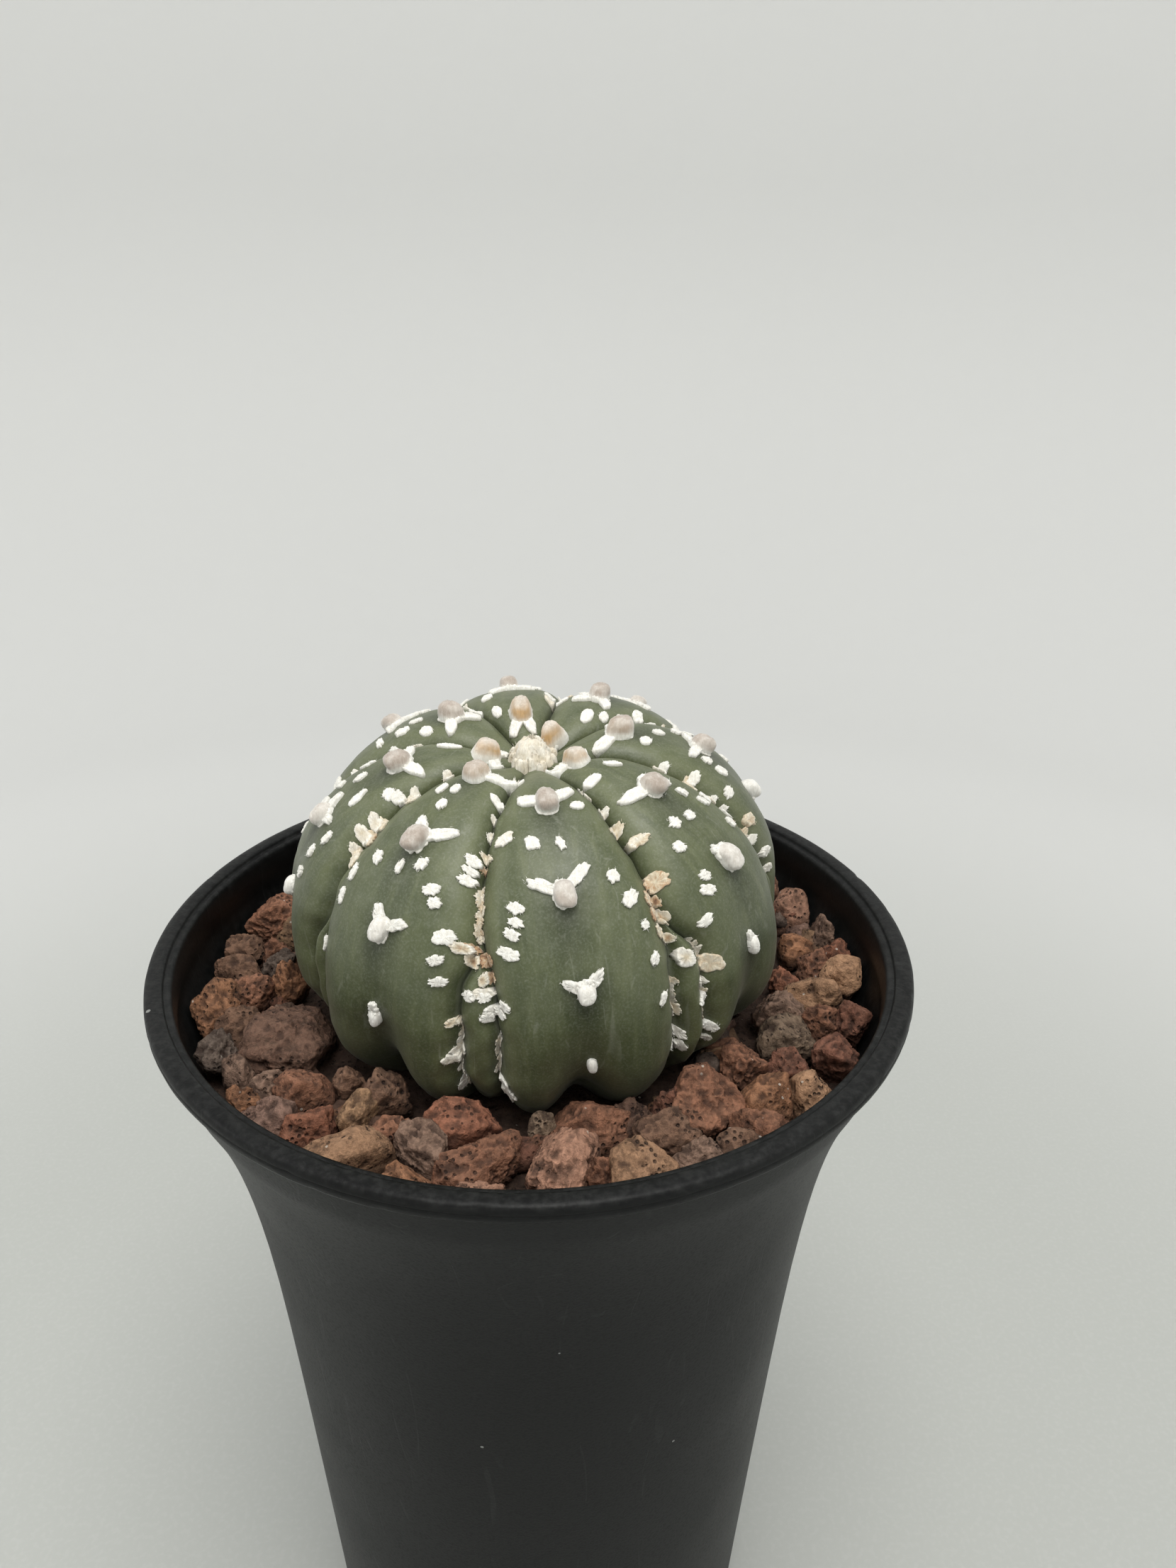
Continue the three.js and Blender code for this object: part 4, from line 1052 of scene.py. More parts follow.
def buildAreoles(domeMaterial, armMaterial):
    chance = np.random.default_rng(areoles["seed"])
    domes, arms = Heap(), Heap()
    fibres = areoles["fibres"]
    for n in range(1, areoles["count"] + 1):
        arc, azimuth = areolePlace(n)
        older = n - areoles["young"]
        width, rise, lean = areoles["youngForm"] if older <= 0 else areoles["oldForm"]
        if older > 0:
            width, rise = width - areoles["fade"][0] * older, rise - areoles["fade"][1] * older
        if n in areoles["seen"]:
            width, rise, lean = areoles["seen"][n][2:5]
        tone, warm, flare = (float(along(knobs[name], n)) for name in ("tone", "warm", "flare"))
        stretch = float(along(knobs["stretch"], width))
        addKnob(domes, chance, arc, azimuth, width, rise, lean, tone, stretch, warm, flare)
        cushion = (arc + 0.2, azimuth, width, width, 0)
        addFibres(domes, chance, *cushion, fibres["dome"], tone=tone * 0.4, length=0.28, high=rise * 0.7)
        left, right = armsOf(n)
        broad = knobs["armWidth"] * float(along(knobs["armShare"], width))
        for side, arm in ((-1, left), (1, right)):
            if arm:
                addArm(arms, chance, arc, azimuth, arm[0], side * arm[1], broad)
        if left or right:
            saddle = (arc - 0.22 * width, azimuth, width * 0.95, width * 1.12, 0)
            addTuft(arms, chance, saddle, fibres["saddle"], felt["plain"], high=0.8, rise=1.9, square=2.6)
        if width > 1.9:
            skirt = (arc + 0.2, azimuth, width * 1.14 * stretch, width * (1.1 + 0.35 * flare), 0)
            addTuft(arms, chance, skirt, fibres["skirt"], 2 * felt["plain"], rise=0.75, square=2.6)
    makePiece("areoleDomes", domes, domeMaterial, "cactus")
    makePiece("areoleArms", arms, armMaterial, "cactus")


def domeFelt():
    constants = {"Specular_IOR_Level": 0.15, "Sheen_Weight": 0.4, "Sheen_Roughness": 0.5}
    material, tree, shader = newMaterial("domeFelt", **constants)
    fibre = useGroup(tree, feltFibre, Scale=2200)
    patchy = ramp(tree, noiseMap(tree, 700.0, 3.0), 0.3, 0.7, 0.75, 1.2)
    tone = times(tree, attribute(tree, "tone"), patchy)
    base = feltColours(tree, tone, (0.0, felt["white"]), (0.5, felt["greige"]), (1.0, felt["darkGreige"]))
    base = blend(tree, times(tree, attribute(tree, "warm"), patchy), base, felt["youngTan"])
    finishFelt(tree, shader, base, fibre, 0.82, 0.7, 0.16)
    return material


domeMaterial = domeFelt()
buildAreoles(domeMaterial, woolMaterial)
print("areoles made")

# Crown wool: a cushion of cream tufts in the dip
crown = {
    "seed": 3,
    "tufts": [  # arc, azimuth, width, rise
        (0.4, 10, 4.4, 3.7), (1.3, -40, 2.7, 3.3), (1.3, 60, 2.7, 3.1), (1.4, 150, 2.7, 3.1),
        (1.4, 240, 2.7, 3.1),
    ],
    "curls": 64,
    "reach": 3.0,
    "high": 3.9,
    "fibres": 16,
    "cream": 0.2,
}


def buildCrown(material):
    chance = np.random.default_rng(crown["seed"])
    heap = Heap()
    tufts = list(crown["tufts"])
    for i in range(crown["curls"]):
        arc = crown["reach"] * math.sqrt((i + 0.5) / crown["curls"])
        rise = crown["high"] * (1 - 0.75 * (arc / crown["reach"]) ** 2) + chance.uniform(-0.25, 0.3)
        tufts.append((arc, i * 137.5, chance.uniform(0.75, 1.25), rise))
    for arc, azimuth, width, rise in tufts:
        tone = crown["cream"] * chance.uniform(0.7, 1.3)
        first = len(heap.points)
        addKnob(heap, chance, arc, azimuth, width, rise, 0.0, tone, 1.0)
        lump = heap.points[first]
        swell = 0.22 * noiseAt(lump, 0.9, 2.2, 4)[:, None]
        heap.points[first] = lump + swell * (lump - lump.mean(0))
        heap.values[first]["tone"] = np.full(len(lump), tone)
        cushion = (arc, azimuth, width, width, 0)
        addFibres(heap, chance, *cushion, crown["fibres"], tone=tone, length=0.55, high=rise)
    makePiece("crownWool", heap, material, "cactus")


buildCrown(woolMaterial)
print("crown made")

# Wool along the furrows: torn tufts, some with a brown hollow, and pale cords low down
furrowWool = {
    "seed": 31,
    "ruleSeed": 23,
    # rib, across, arc, length, width, turn, tone, hollow
    "seen": [
        (1, 0.94, 14.3, 1.2, 0.8, 20, 0.15, 0), (2, -0.94, 17.1, 1.7, 1.3, 20, 0.1, 0),
        (1, 0.98, 12, 0.9, 0.6, 0, 0.1, 0), (2, -0.93, 31.1, 2.0, 1.1, 20, 0.5, 0.4),
        (2, -0.9, 33.6, 2.7, 1.4, 25, 0.25, 0.4), (2, -0.93, 36.6, 2.1, 1.5, 15, 0.2, 0.45),
        (2, -0.84, 39.7, 2.9, 2.3, 10, 0.08, 0.25), (2, -0.95, 43.2, 1.3, 0.9, 0, 0.3, 0),
        (2, -0.95, 48.2, 2.6, 1.2, 5, 0.2, 0.2), (2, -0.92, 52.6, 2.4, 1.7, 15, 0.04, 0),
        (1, 1.0, 54.2, 1.8, 1.2, 60, 0.03, 0), (2, -0.9, 55.4, 2.6, 1.3, 0, 0.05, 0),
        (2, -0.56, 53.6, 2.4, 1.9, 30, 0.03, 0), (2, -0.56, 56.4, 1.8, 1.1, 0, 0.1, 0),
        (8, 0.84, 6.9, 1.1, 0.8, 0, 0.1, 0), (8, 0.8, 16.3, 1.3, 0.7, 10, 0.1, 0),
        (8, 0.84, 19.0, 1.6, 0.8, 0, 0.12, 0), (8, 0.88, 22.2, 1.9, 1.3, 60, 0.25, 0.15),
        (8, 0.83, 34.4, 2.8, 1.6, 80, 0.15, 0.55), (8, 0.93, 36.0, 2.4, 2.1, 20, 0.2, 0.6),
        (1, -0.94, 38.2, 2.1, 1.4, 10, 0.2, 0.5), (8, 0.93, 40.4, 2.0, 1.6, 90, 0.02, 0),
        (1, -0.92, 40.5, 1.9, 1.5, 80, 0.02, 0), (1, -0.89, 43.4, 2.1, 1.6, 60, 0.02, 0),
        (1, -0.77, 42.5, 2.0, 1.5, 50, 0.02, 0), (8, 0.76, 45.0, 1.6, 1.1, 60, 0.3, 0.4),
        (8, 0.74, 50.8, 2.2, 1.6, 60, 0.12, 0.1), (1, -0.76, 54.6, 2.2, 1.4, 20, 0.03, 0),
        (1, -0.72, 56.4, 2.3, 1.7, 70, 0.05, 0), (1, -0.74, 58.6, 2.4, 1.6, 10, 0.08, 0),
        (8, 0.78, 58.4, 2.4, 1.2, 0, 0.06, 0), (7, 0.78, 12.7, 1.3, 0.8, 0, 0.1, 0),
        (7, 0.84, 17.9, 1.9, 1.4, 30, 0.12, 0), (7, 0.71, 19.9, 1.9, 1.5, 0, 0.03, 0),
        (7, 0.78, 24.4, 2.7, 1.7, 40, 0.12, 0.1), (7, 0.79, 26.7, 2.8, 1.9, 70, 0.12, 0.2),
        (7, 0.8, 29.2, 2.2, 1.5, 30, 0.15, 0.1), (3, -0.85, 18.6, 1.9, 1.3, 30, 0.05, 0),
        (3, -0.78, 23.2, 2.2, 1.7, 50, 0.06, 0), (3, -0.84, 27.2, 1.5, 0.9, 20, 0.04, 0),
        (3, -0.85, 29.4, 1.7, 1.1, 30, 0.04, 0), (3, -0.7, 34.0, 2.6, 1.6, 20, 0.3, 0.4),
        (3, -0.8, 36.6, 2.2, 1.7, 30, 0.06, 0), (3, -0.66, 40.4, 2.0, 1.5, 30, 0.04, 0),
        (3, -0.62, 43.8, 1.9, 1.2, 30, 0.1, 0),
    ],
    # furrow after rib, branch (-1 left, 1 right), from, to, width, tone
    "cords": [
        (8, -1, 26.6, 33.2, 0.95, 0.26), (8, -1, 45.4, 52.5, 0.55, 0.16), (8, -1, 52.5, 59, 0.8, 0.08),
        (8, 1, 46.5, 54, 0.55, 0.1), (1, -1, 44.5, 48, 0.5, 0.2), (1, 1, 38.5, 41.5, 0.5, 0.15),
        (1, 1, 45.5, 52, 0.4, 0.25),
    ],
    # furrows away from the viewer take their tufts by rule
    "ruled": (3, 4, 5, 6),
    "top": 15,
    "bottom": 55,
    "step": 4.6,
    "slant": 25,
    "cordStep": 0.8,
}


def branchAzimuth(furrow, branch, arc):
    share = float(softStep((arc - stripStart[furrow - 1]) / body["stripGrowth"]))
    edge = stripRight[furrow - 1] * share if branch > 0 else -stripLeft[furrow - 1] * share
    return ribAzimuth(furrow, 1) + edge + float(furrowShift(np.array(arc), furrow - 1))


def addWisp(heap, chance, place, tone, hollow=0.0):
    addTuft(heap, chance, place, 9, tone, length=0.4, high=0.5, rise=1.3, hollow=hollow)


def buildFurrowWool(material):
    chance = np.random.default_rng(furrowWool["seed"])
    draw = seeded(furrowWool["ruleSeed"])
    heap = Heap()
    for rib, across, arc, long, wide, turn, tone, hollow in furrowWool["seen"]:
        addWisp(heap, chance, (arc, ribAzimuth(rib, across), long, wide, turn), tone, hollow)
    for furrow in furrowWool["ruled"]:
        side = 1
        arc = furrowWool["top"] + 2 * next(draw)
        while arc < furrowWool["bottom"]:
            split = softStep((arc - stripStart[furrow - 1]) / body["stripGrowth"]) > 0.3
            for branch in ((-1, 1) if split else (1,)):
                azimuth = branchAzimuth(furrow, branch, arc) + math.degrees(side * 0.8 / float(radiusAt(arc)))
                long = chance.uniform(1.3, 2.5)
                hollow = 0.4 if chance.uniform() > 0.8 else 0.0
                place = (arc, azimuth, long, long * chance.uniform(0.55, 0.8), furrowWool["slant"] * side)
                addWisp(heap, chance, place, chance.uniform(0, 0.25), hollow)
                side = -side
            arc += furrowWool["step"] * (0.8 + 0.4 * next(draw))
    for furrow, branch, start, end, wide, tone in furrowWool["cords"]:
        for arc in np.arange(start, end, furrowWool["cordStep"]):
            aside = math.degrees(chance.uniform(-0.2, 0.2) / float(radiusAt(arc)))
            azimuth = branchAzimuth(furrow, branch, arc) + aside
            shade = max(tone + chance.uniform(-0.1, 0.15), 0)
            width = wide * chance.uniform(0.7, 1.3)
            addPad(heap, chance, arc, azimuth, 1.5, width, chance.uniform(-18, 18), tone=shade, rise=1.0)
            addFibres(heap, chance, arc, azimuth, 1.4, width, 0, count=4, tone=shade, length=0.35)
    makePiece("furrowWool", heap, material, "cactus")


buildFurrowWool(woolMaterial)
print("furrow wool made")

# Gravel: lava stones on a bed of grit
gravel = {
    "seed": 7,  # the part's own
    "reliefSeed": 17,
    "gritSeed": 2,
    "top": pot["height"] - 7.4,
    "bottom": pot["height"] - 13.4,
    "clearance": 0.8,
    "seatRoom": 0.25,
    "large": 9,
    "tints": {
        "redBrown": (0.21, 0.1, 0.061), "brown": (0.164, 0.094, 0.062), "darkBrown": (0.12, 0.068, 0.048),
        "darkGrey": (0.104, 0.08, 0.066), "greyBrown": (0.192, 0.124, 0.092), "orange": (0.248, 0.122, 0.066),
        "tan": (0.28, 0.165, 0.098), "pink": (0.276, 0.152, 0.104), "ochre": (0.248, 0.152, 0.088),
        "olive": (0.156, 0.112, 0.078), "darkRed": (0.152, 0.068, 0.045), "lilac": (0.208, 0.128, 0.1),
        "red": (0.216, 0.092, 0.056),
    },
    # x, y, length, width, turn in degrees, tint, pores from 0 to 1
    "stones": [
        (-41, 16, 10.5, 9, 20, "redBrown", 0.9), (-44.5, 8.3, 5.5, 4.5, 0, "brown", 0.5),
        (-39.8, 8.6, 5.5, 4.5, 40, "redBrown", 0.6), (-44, 2.6, 9, 5, 0, "brown", 0.4),
        (-38.4, 3.8, 5.5, 4.5, 70, "darkGrey", 0.4), (-35.4, -0.8, 5.5, 4.5, 30, "orange", 0.5),
        (-40.6, -3.4, 6.5, 5, 20, "redBrown", 0.5), (-44, -8, 9, 8, 100, "orange", 0.9),
        (-39.6, -11, 6, 5, 30, "brown", 0.5), (-32.3, -13.5, 16, 11, 95, "darkBrown", 1.0),
        (-28.5, -24.6, 7, 6, 30, "redBrown", 0.3), (-41, -17, 5.5, 5, 80, "darkGrey", 0.5),
        (-37, -20.8, 7, 5, 130, "greyBrown", 0.3), (-32.8, -22.6, 5.5, 4.5, 0, "greyBrown", 0.5),
        (-31, -28, 8, 6.5, 150, "lilac", 0.8), (-35.3, -26.2, 4.5, 4, 0, "orange", 0.2),
        (-26, -31, 7, 5, 20, "red", 0.3), (-21.5, -35.5, 11, 8, 10, "tan", 0.1),
        (-22.6, -21.8, 4.6, 4, 0, "brown", 0.4), (-17.8, -25, 8, 6, 30, "brown", 0.5),
        (-20.6, -29, 5.5, 4.5, 60, "ochre", 0.3), (-16, -31, 5, 4.4, 0, "redBrown", 0.3),
        (-12, -33.8, 11, 6, 125, "greyBrown", 0.5), (-7, -29.6, 9, 6, 10, "red", 0.7),
        (-4.4, -36.4, 10, 7, 30, "redBrown", 0.9), (-13, -40.4, 7, 5.5, 10, "orange", 0.2),
        (-3.6, -42.6, 6, 4.5, 0, "pink", 0.3), (4.6, -36, 12, 8.5, 80, "pink", 0.9),
        (2.4, -29.5, 4, 3.4, 0, "olive", 0.2), (8.4, -29, 9.5, 8, 160, "redBrown", 0.6),
        (13, -27.2, 6, 5, 20, "darkBrown", 0.6), (17.2, -31.6, 9, 6, 10, "brown", 0.8),
        (18.4, -26.4, 5, 4, 0, "darkRed", 0.6), (14.4, -37.6, 8.5, 7, 30, "tan", 0.3),
        (9.6, -37.6, 5, 4.4, 0, "redBrown", 0.5), (21.8, -36, 7.5, 5, 15, "greyBrown", 0.4),
        (26.2, -35.4, 6.5, 5, 140, "brown", 0.6), (22.2, -25.4, 11, 8.5, 40, "redBrown", 0.9),
        (28, -17.6, 6.5, 5.5, 50, "redBrown", 0.7), (30.5, -24, 9, 7.5, 60, "orange", 0.5),
        (29.4, -31, 8.5, 6, 130, "redBrown", 0.7), (36.4, -24, 7.5, 6, 60, "tan", 0.4),
        (34.4, -18, 5.5, 4.6, 0, "darkRed", 0.6), (35.4, -12, 8, 7, 30, "olive", 0.8),
        (34.6, -5.6, 7.5, 6, 80, "greyBrown", 0.5), (41, -1.8, 8.6, 7, 20, "tan", 0.1),
        (45.6, 2, 6.4, 5.6, 0, "tan", 0.1), (36, 1.8, 6, 4.5, 80, "red", 0.6),
        (44.4, -8.8, 5.5, 5, 40, "darkRed", 0.7), (40, -8.8, 5.5, 4.5, 0, "redBrown", 0.6),
        (41, -15.6, 6.5, 5.5, 60, "darkRed", 0.8), (41.6, 5.6, 6, 5.4, 90, "redBrown", 0.7),
        (45.8, 8.2, 6, 5, 30, "red", 0.8), (45.4, 14.5, 6.5, 5.5, 110, "greyBrown", 0.5),
        (39.6, 11.6, 5.5, 5, 0, "orange", 0.2), (42.3, 22, 7, 6, 50, "darkRed", 0.8),
    ],
    # rings of smaller stones: radius, from, to, step, size
    "backRings": [(44.6, 27, 160, 9.4, 6.8), (39.6, 24, 165, 9, 5.4)],
    "rimRing": (45.8, 224, 318, 6.5, 5.4),
    "fillers": 110,
    "fillerRing": (27, 19.5),  # radius, and how much further they reach
    "fillerTurn": 2.39996,
    "fillerSize": (3.4, 6),
    "fillerDepth": (10.6, 12.2),
    "fineFrom": (10, 0.45),  # length and pores of the stones that get the finest mesh
    "corners": (42, 12),  # draws that the part's own stones take, large and small
    "flats": 14,
    "pits": 260,
    "pitDepth": 0.62,
    "depthShade": (1.2, 2.8, 0.92),  # painted shade: dark from this far below the top, over this height, by this much
    "homes": {  # pieces that the stones in front go into, by tint; the rest are brown
        "redBrown": "redStones", "red": "redStones", "darkRed": "redStones", "orange": "redStones",
        "tan": "paleStones", "pink": "paleStones", "greyBrown": "paleStones", "lilac": "paleStones",
    },
    "gritTop": 12.7,
    "gritUnder": 13.6,
    "gritHole": 12.4,
    "gritSides": 160,
    # painted shade: a near-black bed for the deep gaps between the stones
    "gritShadeTint": (0.032, 0.018, 0.013),
    "speck": colour(0.62, 0.57, 0.5),
    "pale": colour(0.4, 0.28, 0.2),
    "patch": colour(0.13, 0.09, 0.07),
    # painted shade colour inside the pore holes
    "pore": colour(0.03, 0.016, 0.012),
    # painted shade colour, inside the pits and low down between the stones
    "hollow": colour(0.028, 0.015, 0.011),
}


def stoneBalls():
    balls = {}
    for level in (3, 4, 5, 6):
        form = bmesh.new()
        bmesh.ops.create_icosphere(form, subdivisions=level, radius=1)
        faces = [[corner.index for corner in face.verts] for face in form.faces]
        balls[level] = (np.array([corner.co for corner in form.verts]), faces)
        form.free()
    return balls


balls = stoneBalls()


def keptInPlace(points):  # clear of the pot's wall, of the soil and of the cactus
    points[:, 2] = np.maximum(points[:, 2], gravel["bottom"])
    limit = np.array([innerRadius(z) for z in points[:, 2]]) - gravel["clearance"]
    reach = np.hypot(points[:, 0], points[:, 1])
    points[:, :2] *= np.minimum(1, limit / np.maximum(reach, 0.01))[:, None]
    local = (points - bodyCentre) @ leanTurn
    lower = outlineArc > outlineArc[outlineHeight > 0][-1]
    arc = np.interp(-local[:, 2], -outlineHeight[lower], outlineArc[lower])
    azimuth = np.degrees(np.arctan2(local[:, 0], -local[:, 1]))
    belly = radiusAt(arc) - relief(arc, azimuth) + gravel["seatRoom"]
    belly = np.where(-local[:, 2] > body["bottomHeight"] + 1, body["rootRadius"] + 1, belly)
    radius = np.hypot(local[:, 0], local[:, 1])
    local[:, :2] *= np.maximum(1, belly / np.maximum(radius, 0.01))[:, None]
    return local @ leanTurn.T + bodyCentre


def addStone(heap, chance, place, long, wide, tall, turn, tint, pores, level):
    sphere, faces = balls[level]
    planes = chance.normal(size=(gravel["flats"], 3))
    planes /= np.linalg.norm(planes, axis=1)[:, None]
    facing = np.maximum(sphere @ planes.T, 0) / chance.uniform(0.7, 1.0, gravel["flats"])
    radius = np.minimum((facing ** 20).sum(1) ** (-1 / 20), 1.24)
    half = np.array([long, wide, tall]) / 2
    shift = chance.uniform(-40, 40)
    radius += 0.07 * noiseAt(sphere * radius[:, None] * half, 2.6, shift, 4, 0.6)
    crumbs = noiseAt(sphere * half, 0.55, shift, 3, 0.7)
    radius += (0.05 + 0.1 * pores) * crumbs / half.mean()
    pits = np.zeros(len(sphere))
    spots = chance.normal(size=(int(gravel["pits"] * pores) + 4, 3))
    spots /= np.linalg.norm(spots, axis=1)[:, None]
    mean = half.mean()
    for spot, wideness in zip(spots, chance.uniform(0.34, 0.8, len(spots)) ** 1.6):
        away = np.arccos(np.clip(sphere @ spot, -1, 1)) * mean / wideness * (1 + 0.5 * crumbs)
        pits = np.maximum(pits, np.sqrt(np.clip(1 - away ** 2, 0, 1)) * min(wideness, 0.7))
    radius -= gravel["pitDepth"] * pits / mean
    points = sphere * radius[:, None] * half
    angle = math.radians(turn)
    tilt = Matrix.Rotation(angle, 3, "Z") @ Matrix.Rotation(chance.uniform(-0.25, 0.25), 3, "X")
    points = keptInPlace(points @ np.array(tilt).T + np.array(place))
    shade = np.array(tint) * chance.uniform(0.88, 1.14)
    # painted shade: darker inside the pits and on the parts of each stone that lie deep in the bed
    start, over, most = gravel["depthShade"]
    depthShade = most * softStep((gravel["top"] - start - points[:, 2]) / over)
    heap.add(points, faces, stoneTint=shade, pit=np.maximum(np.clip(pits * 1.6, 0, 1), depthShade))


def stoneRows():
    draw = seeded(gravel["seed"])
    rows = list(gravel["stones"])
    tints = list(gravel["tints"])
    for radius, start, end, step, size in gravel["backRings"]:
        degrees = start
        while degrees < end:
            angle = math.radians(degrees + 3 * next(draw))
            away = radius + next(draw) - 0.5
            long = size * (0.85 + 0.4 * next(draw))
            turn = 180 * next(draw)
            tint = tints[int(degrees * 7) % len(tints)]
            rows.append((away * math.cos(angle), away * math.sin(angle), long, long * 0.8, turn, tint, 0.6))
            degrees += step
    heights = []
    large, small = gravel["corners"]
    for row in rows:
        heights.append(1.4 * (next(draw) - 0.5))
        for corner in range(large if row[2] > gravel["large"] else small):
            next(draw)
    return zip(rows, heights)


def buildGravel(material):
    chance = np.random.default_rng(gravel["reliefSeed"])
    heaps = {name: Heap() for name in ("redStones", "brownStones", "paleStones", "backStones")}
    front, finest = len(gravel["stones"]), gravel["fineFrom"]
    for i, ((x, y, long, wide, turn, tint, pores), jitter) in enumerate(stoneRows()):
        tall = 0.5 * wide + 4
        middle = gravel["top"] + 0.14 * wide - 0.1 + jitter - tall / 2
        home = gravel["homes"].get(tint, "brownStones") if i < front else "backStones"
        level = 4 if i >= front else (6 if long >= finest[0] and pores > finest[1] else 5)
        addStone(heaps[home], chance, (x, y, middle), long * 1.02, wide * 1.02, tall * 1.1, turn,
                 gravel["tints"][tint], pores, level)
    tints, back = list(gravel["tints"].values()), heaps["backStones"]
    inner, further = gravel["fillerRing"]
    for i in range(gravel["fillers"]):
        away = inner + further * ((i * 0.618) % 1)
        size = chance.uniform(*gravel["fillerSize"])
        depth = chance.uniform(*gravel["fillerDepth"])
        place = polarPlace(away, i * gravel["fillerTurn"], pot["height"] - depth)
        turn = chance.uniform(0, 180)
        addStone(back, chance, place, size, size * 0.8, size * 0.8, turn, tints[i % len(tints)], 0.4, 3)
    radius, start, end, step, size = gravel["rimRing"]
    for i, degrees in enumerate(np.arange(start, end, step)):
        away = radius + chance.uniform(-0.8, 0.4)
        long = size * chance.uniform(0.85, 1.25)
        place = polarPlace(away, math.radians(degrees), gravel["top"] - chance.uniform(2.6, 3.8))
        turn = chance.uniform(0, 180)
        addStone(back, chance, place, long, long * 0.85, long, turn, tints[i * 5 % len(tints)], 0.5, 3)
    for name, heap in heaps.items():
        makePiece(name, heap, material, "gravel")


def buildGrit(material):  # rough bed that shows between the stones; its near-black tint is painted shade in the gaps
    sides, hole = gravel["gritSides"], gravel["gritHole"]
    chance = np.random.default_rng(gravel["gritSeed"])
    top, under = pot["height"] - gravel["gritTop"], pot["height"] - gravel["gritUnder"]
    edge = innerRadius(top) - 0.35
    radii = np.concatenate([np.linspace(hole, edge, 40), [edge, hole]])
    levels = np.concatenate([np.full(40, top), [under, under]])
    points = np.array([polarPlace(r, t, z) for r, z in zip(radii, levels) for t in evenTurns(sides)])
    free = (points[:, 2] > under + 0.5).astype(float)
    points[:, 2] += free * (0.5 * noiseAt(points, 1.3, 1.0, 3) + 0.12 * chance.uniform(-1, 1, len(points)))
    faces = []
    for row in range(len(radii)):
        a, b = row * sides, (row + 1) % len(radii) * sides
        for i in range(sides):
            j = (i + 1) % sides
            faces.append((b + i, b + j, a + j, a + i))
    heap = Heap()
    heap.add(points, faces, stoneTint=np.array(gravel["gritShadeTint"]), pit=np.zeros(len(points)))
    makePiece("gravelGrit", heap, material, "gravel")


def lavaStone():
    material, tree, shader = newMaterial("lavaStone", Specular_IOR_Level=0.3)
    tint = attribute(tree, "stoneTint", "Vector")
    clouds, patches = noiseMap(tree, 420.0, 6.0, 0.7), noiseMap(tree, 160.0, 3.0)
    grain = useGroup(tree, fineGrain, Scale=1900, Roughness=0.75)
    dust = useGroup(tree, settledDust, Scale=700, Amount=0.6)["Mask"]
    # painted shade: small dark dots inside the pore holes, which also dent the bump
    pore = times(tree, inverse(tree, ramp(tree, cellMap(tree, 1150.0)[0], 0.12, 0.34)),
                 ramp(tree, patches, 0.42, 0.62))
    distance, chance = cellMap(tree, 900.0, 1)
    mineral = times(tree, calc(tree, "LESS_THAN", distance, 0.17), calc(tree, "GREATER_THAN", chance, 0.94))
    dark, pale, dry = (blend(tree, 1.0, tint, colour(*shade), "MULTIPLY") for shade in (
        (0.42, 0.39, 0.37), (1.45, 1.42, 1.38), (1.9, 1.85, 1.8)))
    base = blend(tree, ramp(tree, clouds, 0.3, 0.7), dark, pale)
    base = blend(tree, ramp(tree, patches, 0.5, 0.7, 0.0, 0.15), base, gravel["patch"])
    # painted shade: the last layer darkens the pits and the stones' lower parts
    base = layered(tree, base, (dust, 0.12, gravel["pale"]), (grain["Mask"], 0.5, dry),
                   (mineral, 0.6, gravel["speck"]), (pore, 0.8, gravel["pore"]),
                   (attribute(tree, "pit"), 0.75, gravel["hollow"]))
    height = calc(tree, "SUBTRACT", calc(tree, "ADD", clouds, times(tree, grain["Height"], 0.5)), pore)
    finishMaterial(tree, shader, base, ramp(tree, clouds, 0.3, 0.7, 0.96, 0.8), height, 1.0, 0.6)
    return material


stoneMaterial = lavaStone()
buildGravel(stoneMaterial)
buildGrit(stoneMaterial)
print("gravel made")

# Growing mix: the part's own solid, dark and crumbly
soil = {
    "peat": colour(0.045, 0.027, 0.017),
    "fibre": colour(0.14, 0.085, 0.05),
    "perlite": colour(0.55, 0.53, 0.48),
    "dusty": 0.3,
}


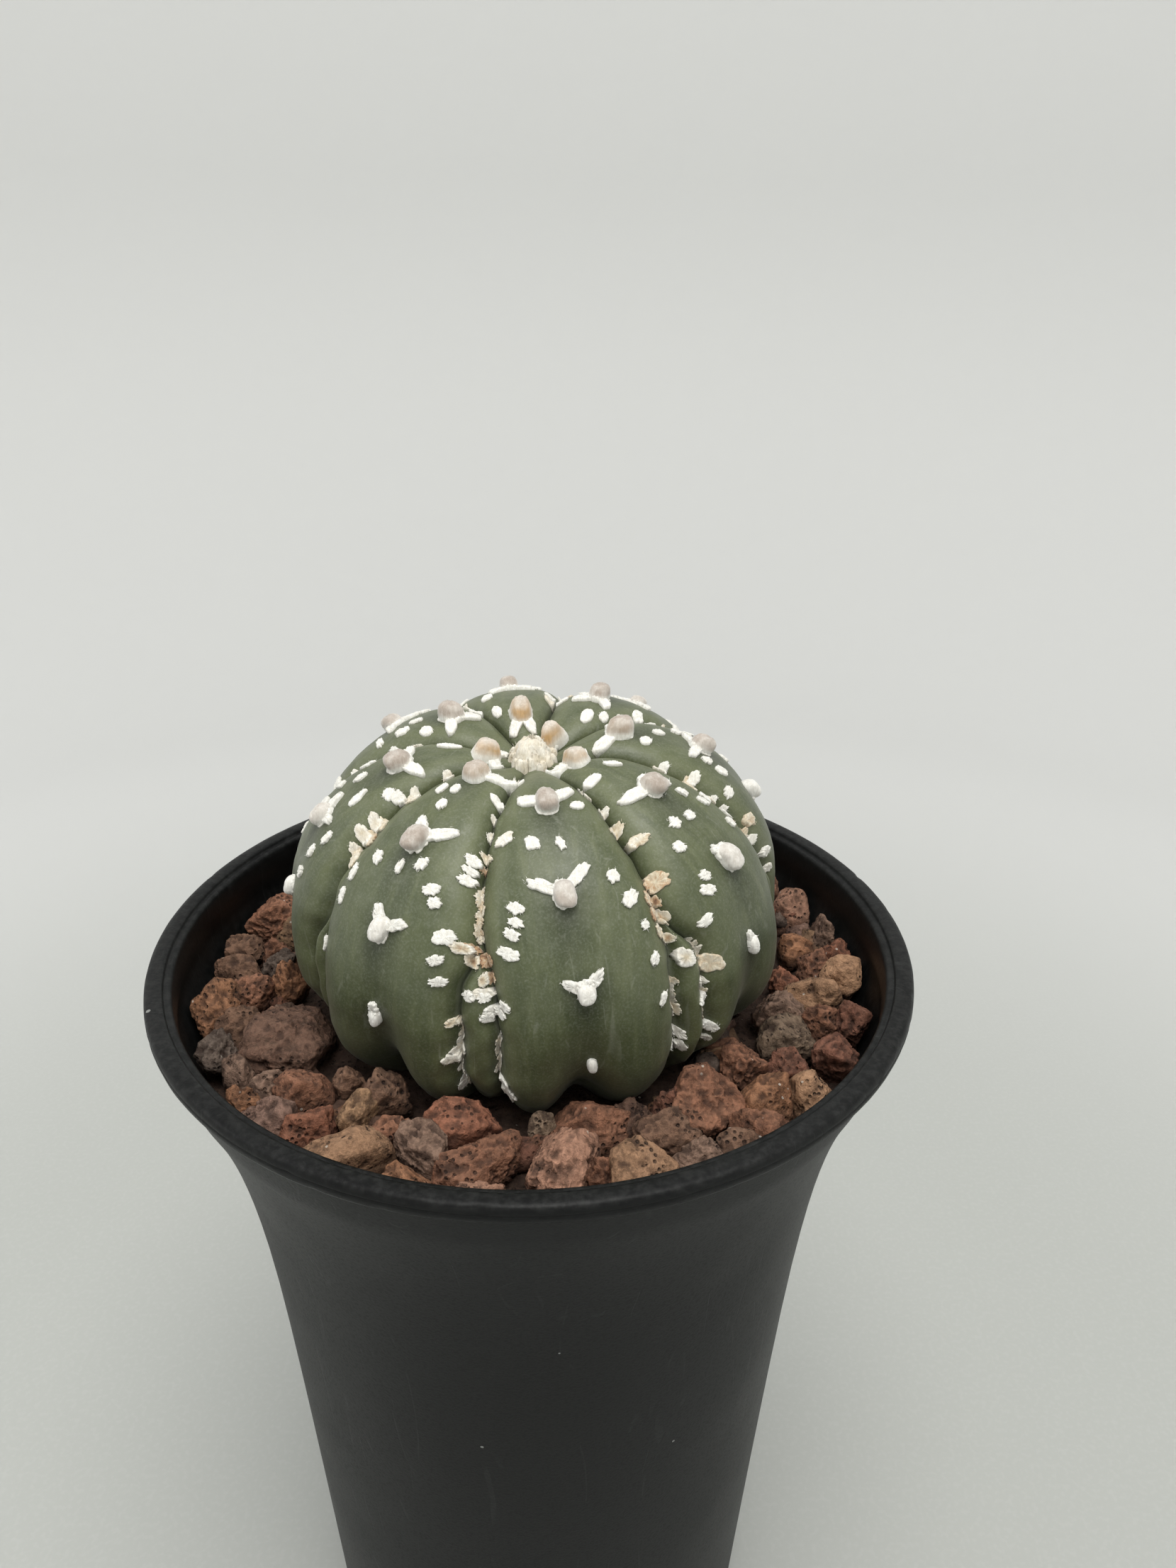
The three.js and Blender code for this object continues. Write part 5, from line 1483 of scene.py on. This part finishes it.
def growingMix():
    material, tree, shader = newMaterial("growingMix", Specular_IOR_Level=0.2)
    distance, chance = cellMap(tree, 480.0)
    grain = useGroup(tree, fineGrain, Scale=1500, Roughness=0.7)
    dust = useGroup(tree, settledDust, Scale=500, Amount=0.4)["Mask"]
    base = blend(tree, ramp(tree, chance, 0.2, 0.9), soil["peat"], soil["fibre"])
    base = blend(tree, calc(tree, "GREATER_THAN", chance, 0.95), base, soil["perlite"])
    base = layered(tree, base, (dust, soil["dusty"], soil["fibre"]))
    height = calc(tree, "SUBTRACT", grain["Height"], distance)
    finishMaterial(tree, shader, base, ramp(tree, grain["Mask"], 0.0, 1.0, 0.9, 1.0), height, 0.9, 0.8)
    return material


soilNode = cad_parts["soil"]
soilNode.data.materials.clear()
soilNode.data.materials.append(growingMix())
print("soil dressed")


# Floor: pale, turning up into a wall all round, and darker near the pot, partly as the greyer table and
# partly as painted shade round the pot
def buildFloor():
    reach, curve, top = studio["floorReach"], studio["floorCurve"], studio["wallTop"]
    angles = np.radians(np.linspace(0, 90, 25))
    bend = [(reach + curve * math.sin(a), curve * (1 - math.cos(a))) for a in angles]
    pairs = [(0, 0)] + [(r, 0) for r in (60, 150, 280)] + bend + [(reach + curve, top)]
    sides = studio["floorSides"]
    points = revolved(pairs + [(0, top)], sides)[:-1]
    faces = [face for face in ringFaces(len(pairs) - 1, sides) if len(points) not in face]
    mesh = bpy.data.meshes.new("paleFloor")
    mesh.from_pydata((points * mm).tolist(), [], faces)
    mesh.polygons.foreach_set("use_smooth", [True] * len(faces))
    material, tree, shader = newMaterial("paleFloor", Specular_IOR_Level=0.25)
    grain = useGroup(tree, fineGrain, Scale=900, Roughness=0.5)
    away = addNode(tree, "VectorMath", {0: objectPlace(tree)}, operation="LENGTH").outputs["Value"]
    # partly painted shade: the floor is darkest near the pot and lightens out towards the wall
    pale = blend(tree, ramp(tree, away, 0.14, 0.4), studio["tableAndShadeColour"], studio["boardColour"])
    base = layered(tree, pale, (grain["Mask"], 0.1, studio["boardColour"]))
    roughness = ramp(tree, grain["Mask"], 0.0, 1.0, 0.55, 0.62)
    finishMaterial(tree, shader, base, roughness, grain["Height"], 0.08, 0.05)
    mesh.materials.append(material)
    floor = bpy.data.objects.new("paleFloor", mesh)
    bpy.context.collection.objects.link(floor)


buildFloor()
print("floor made")
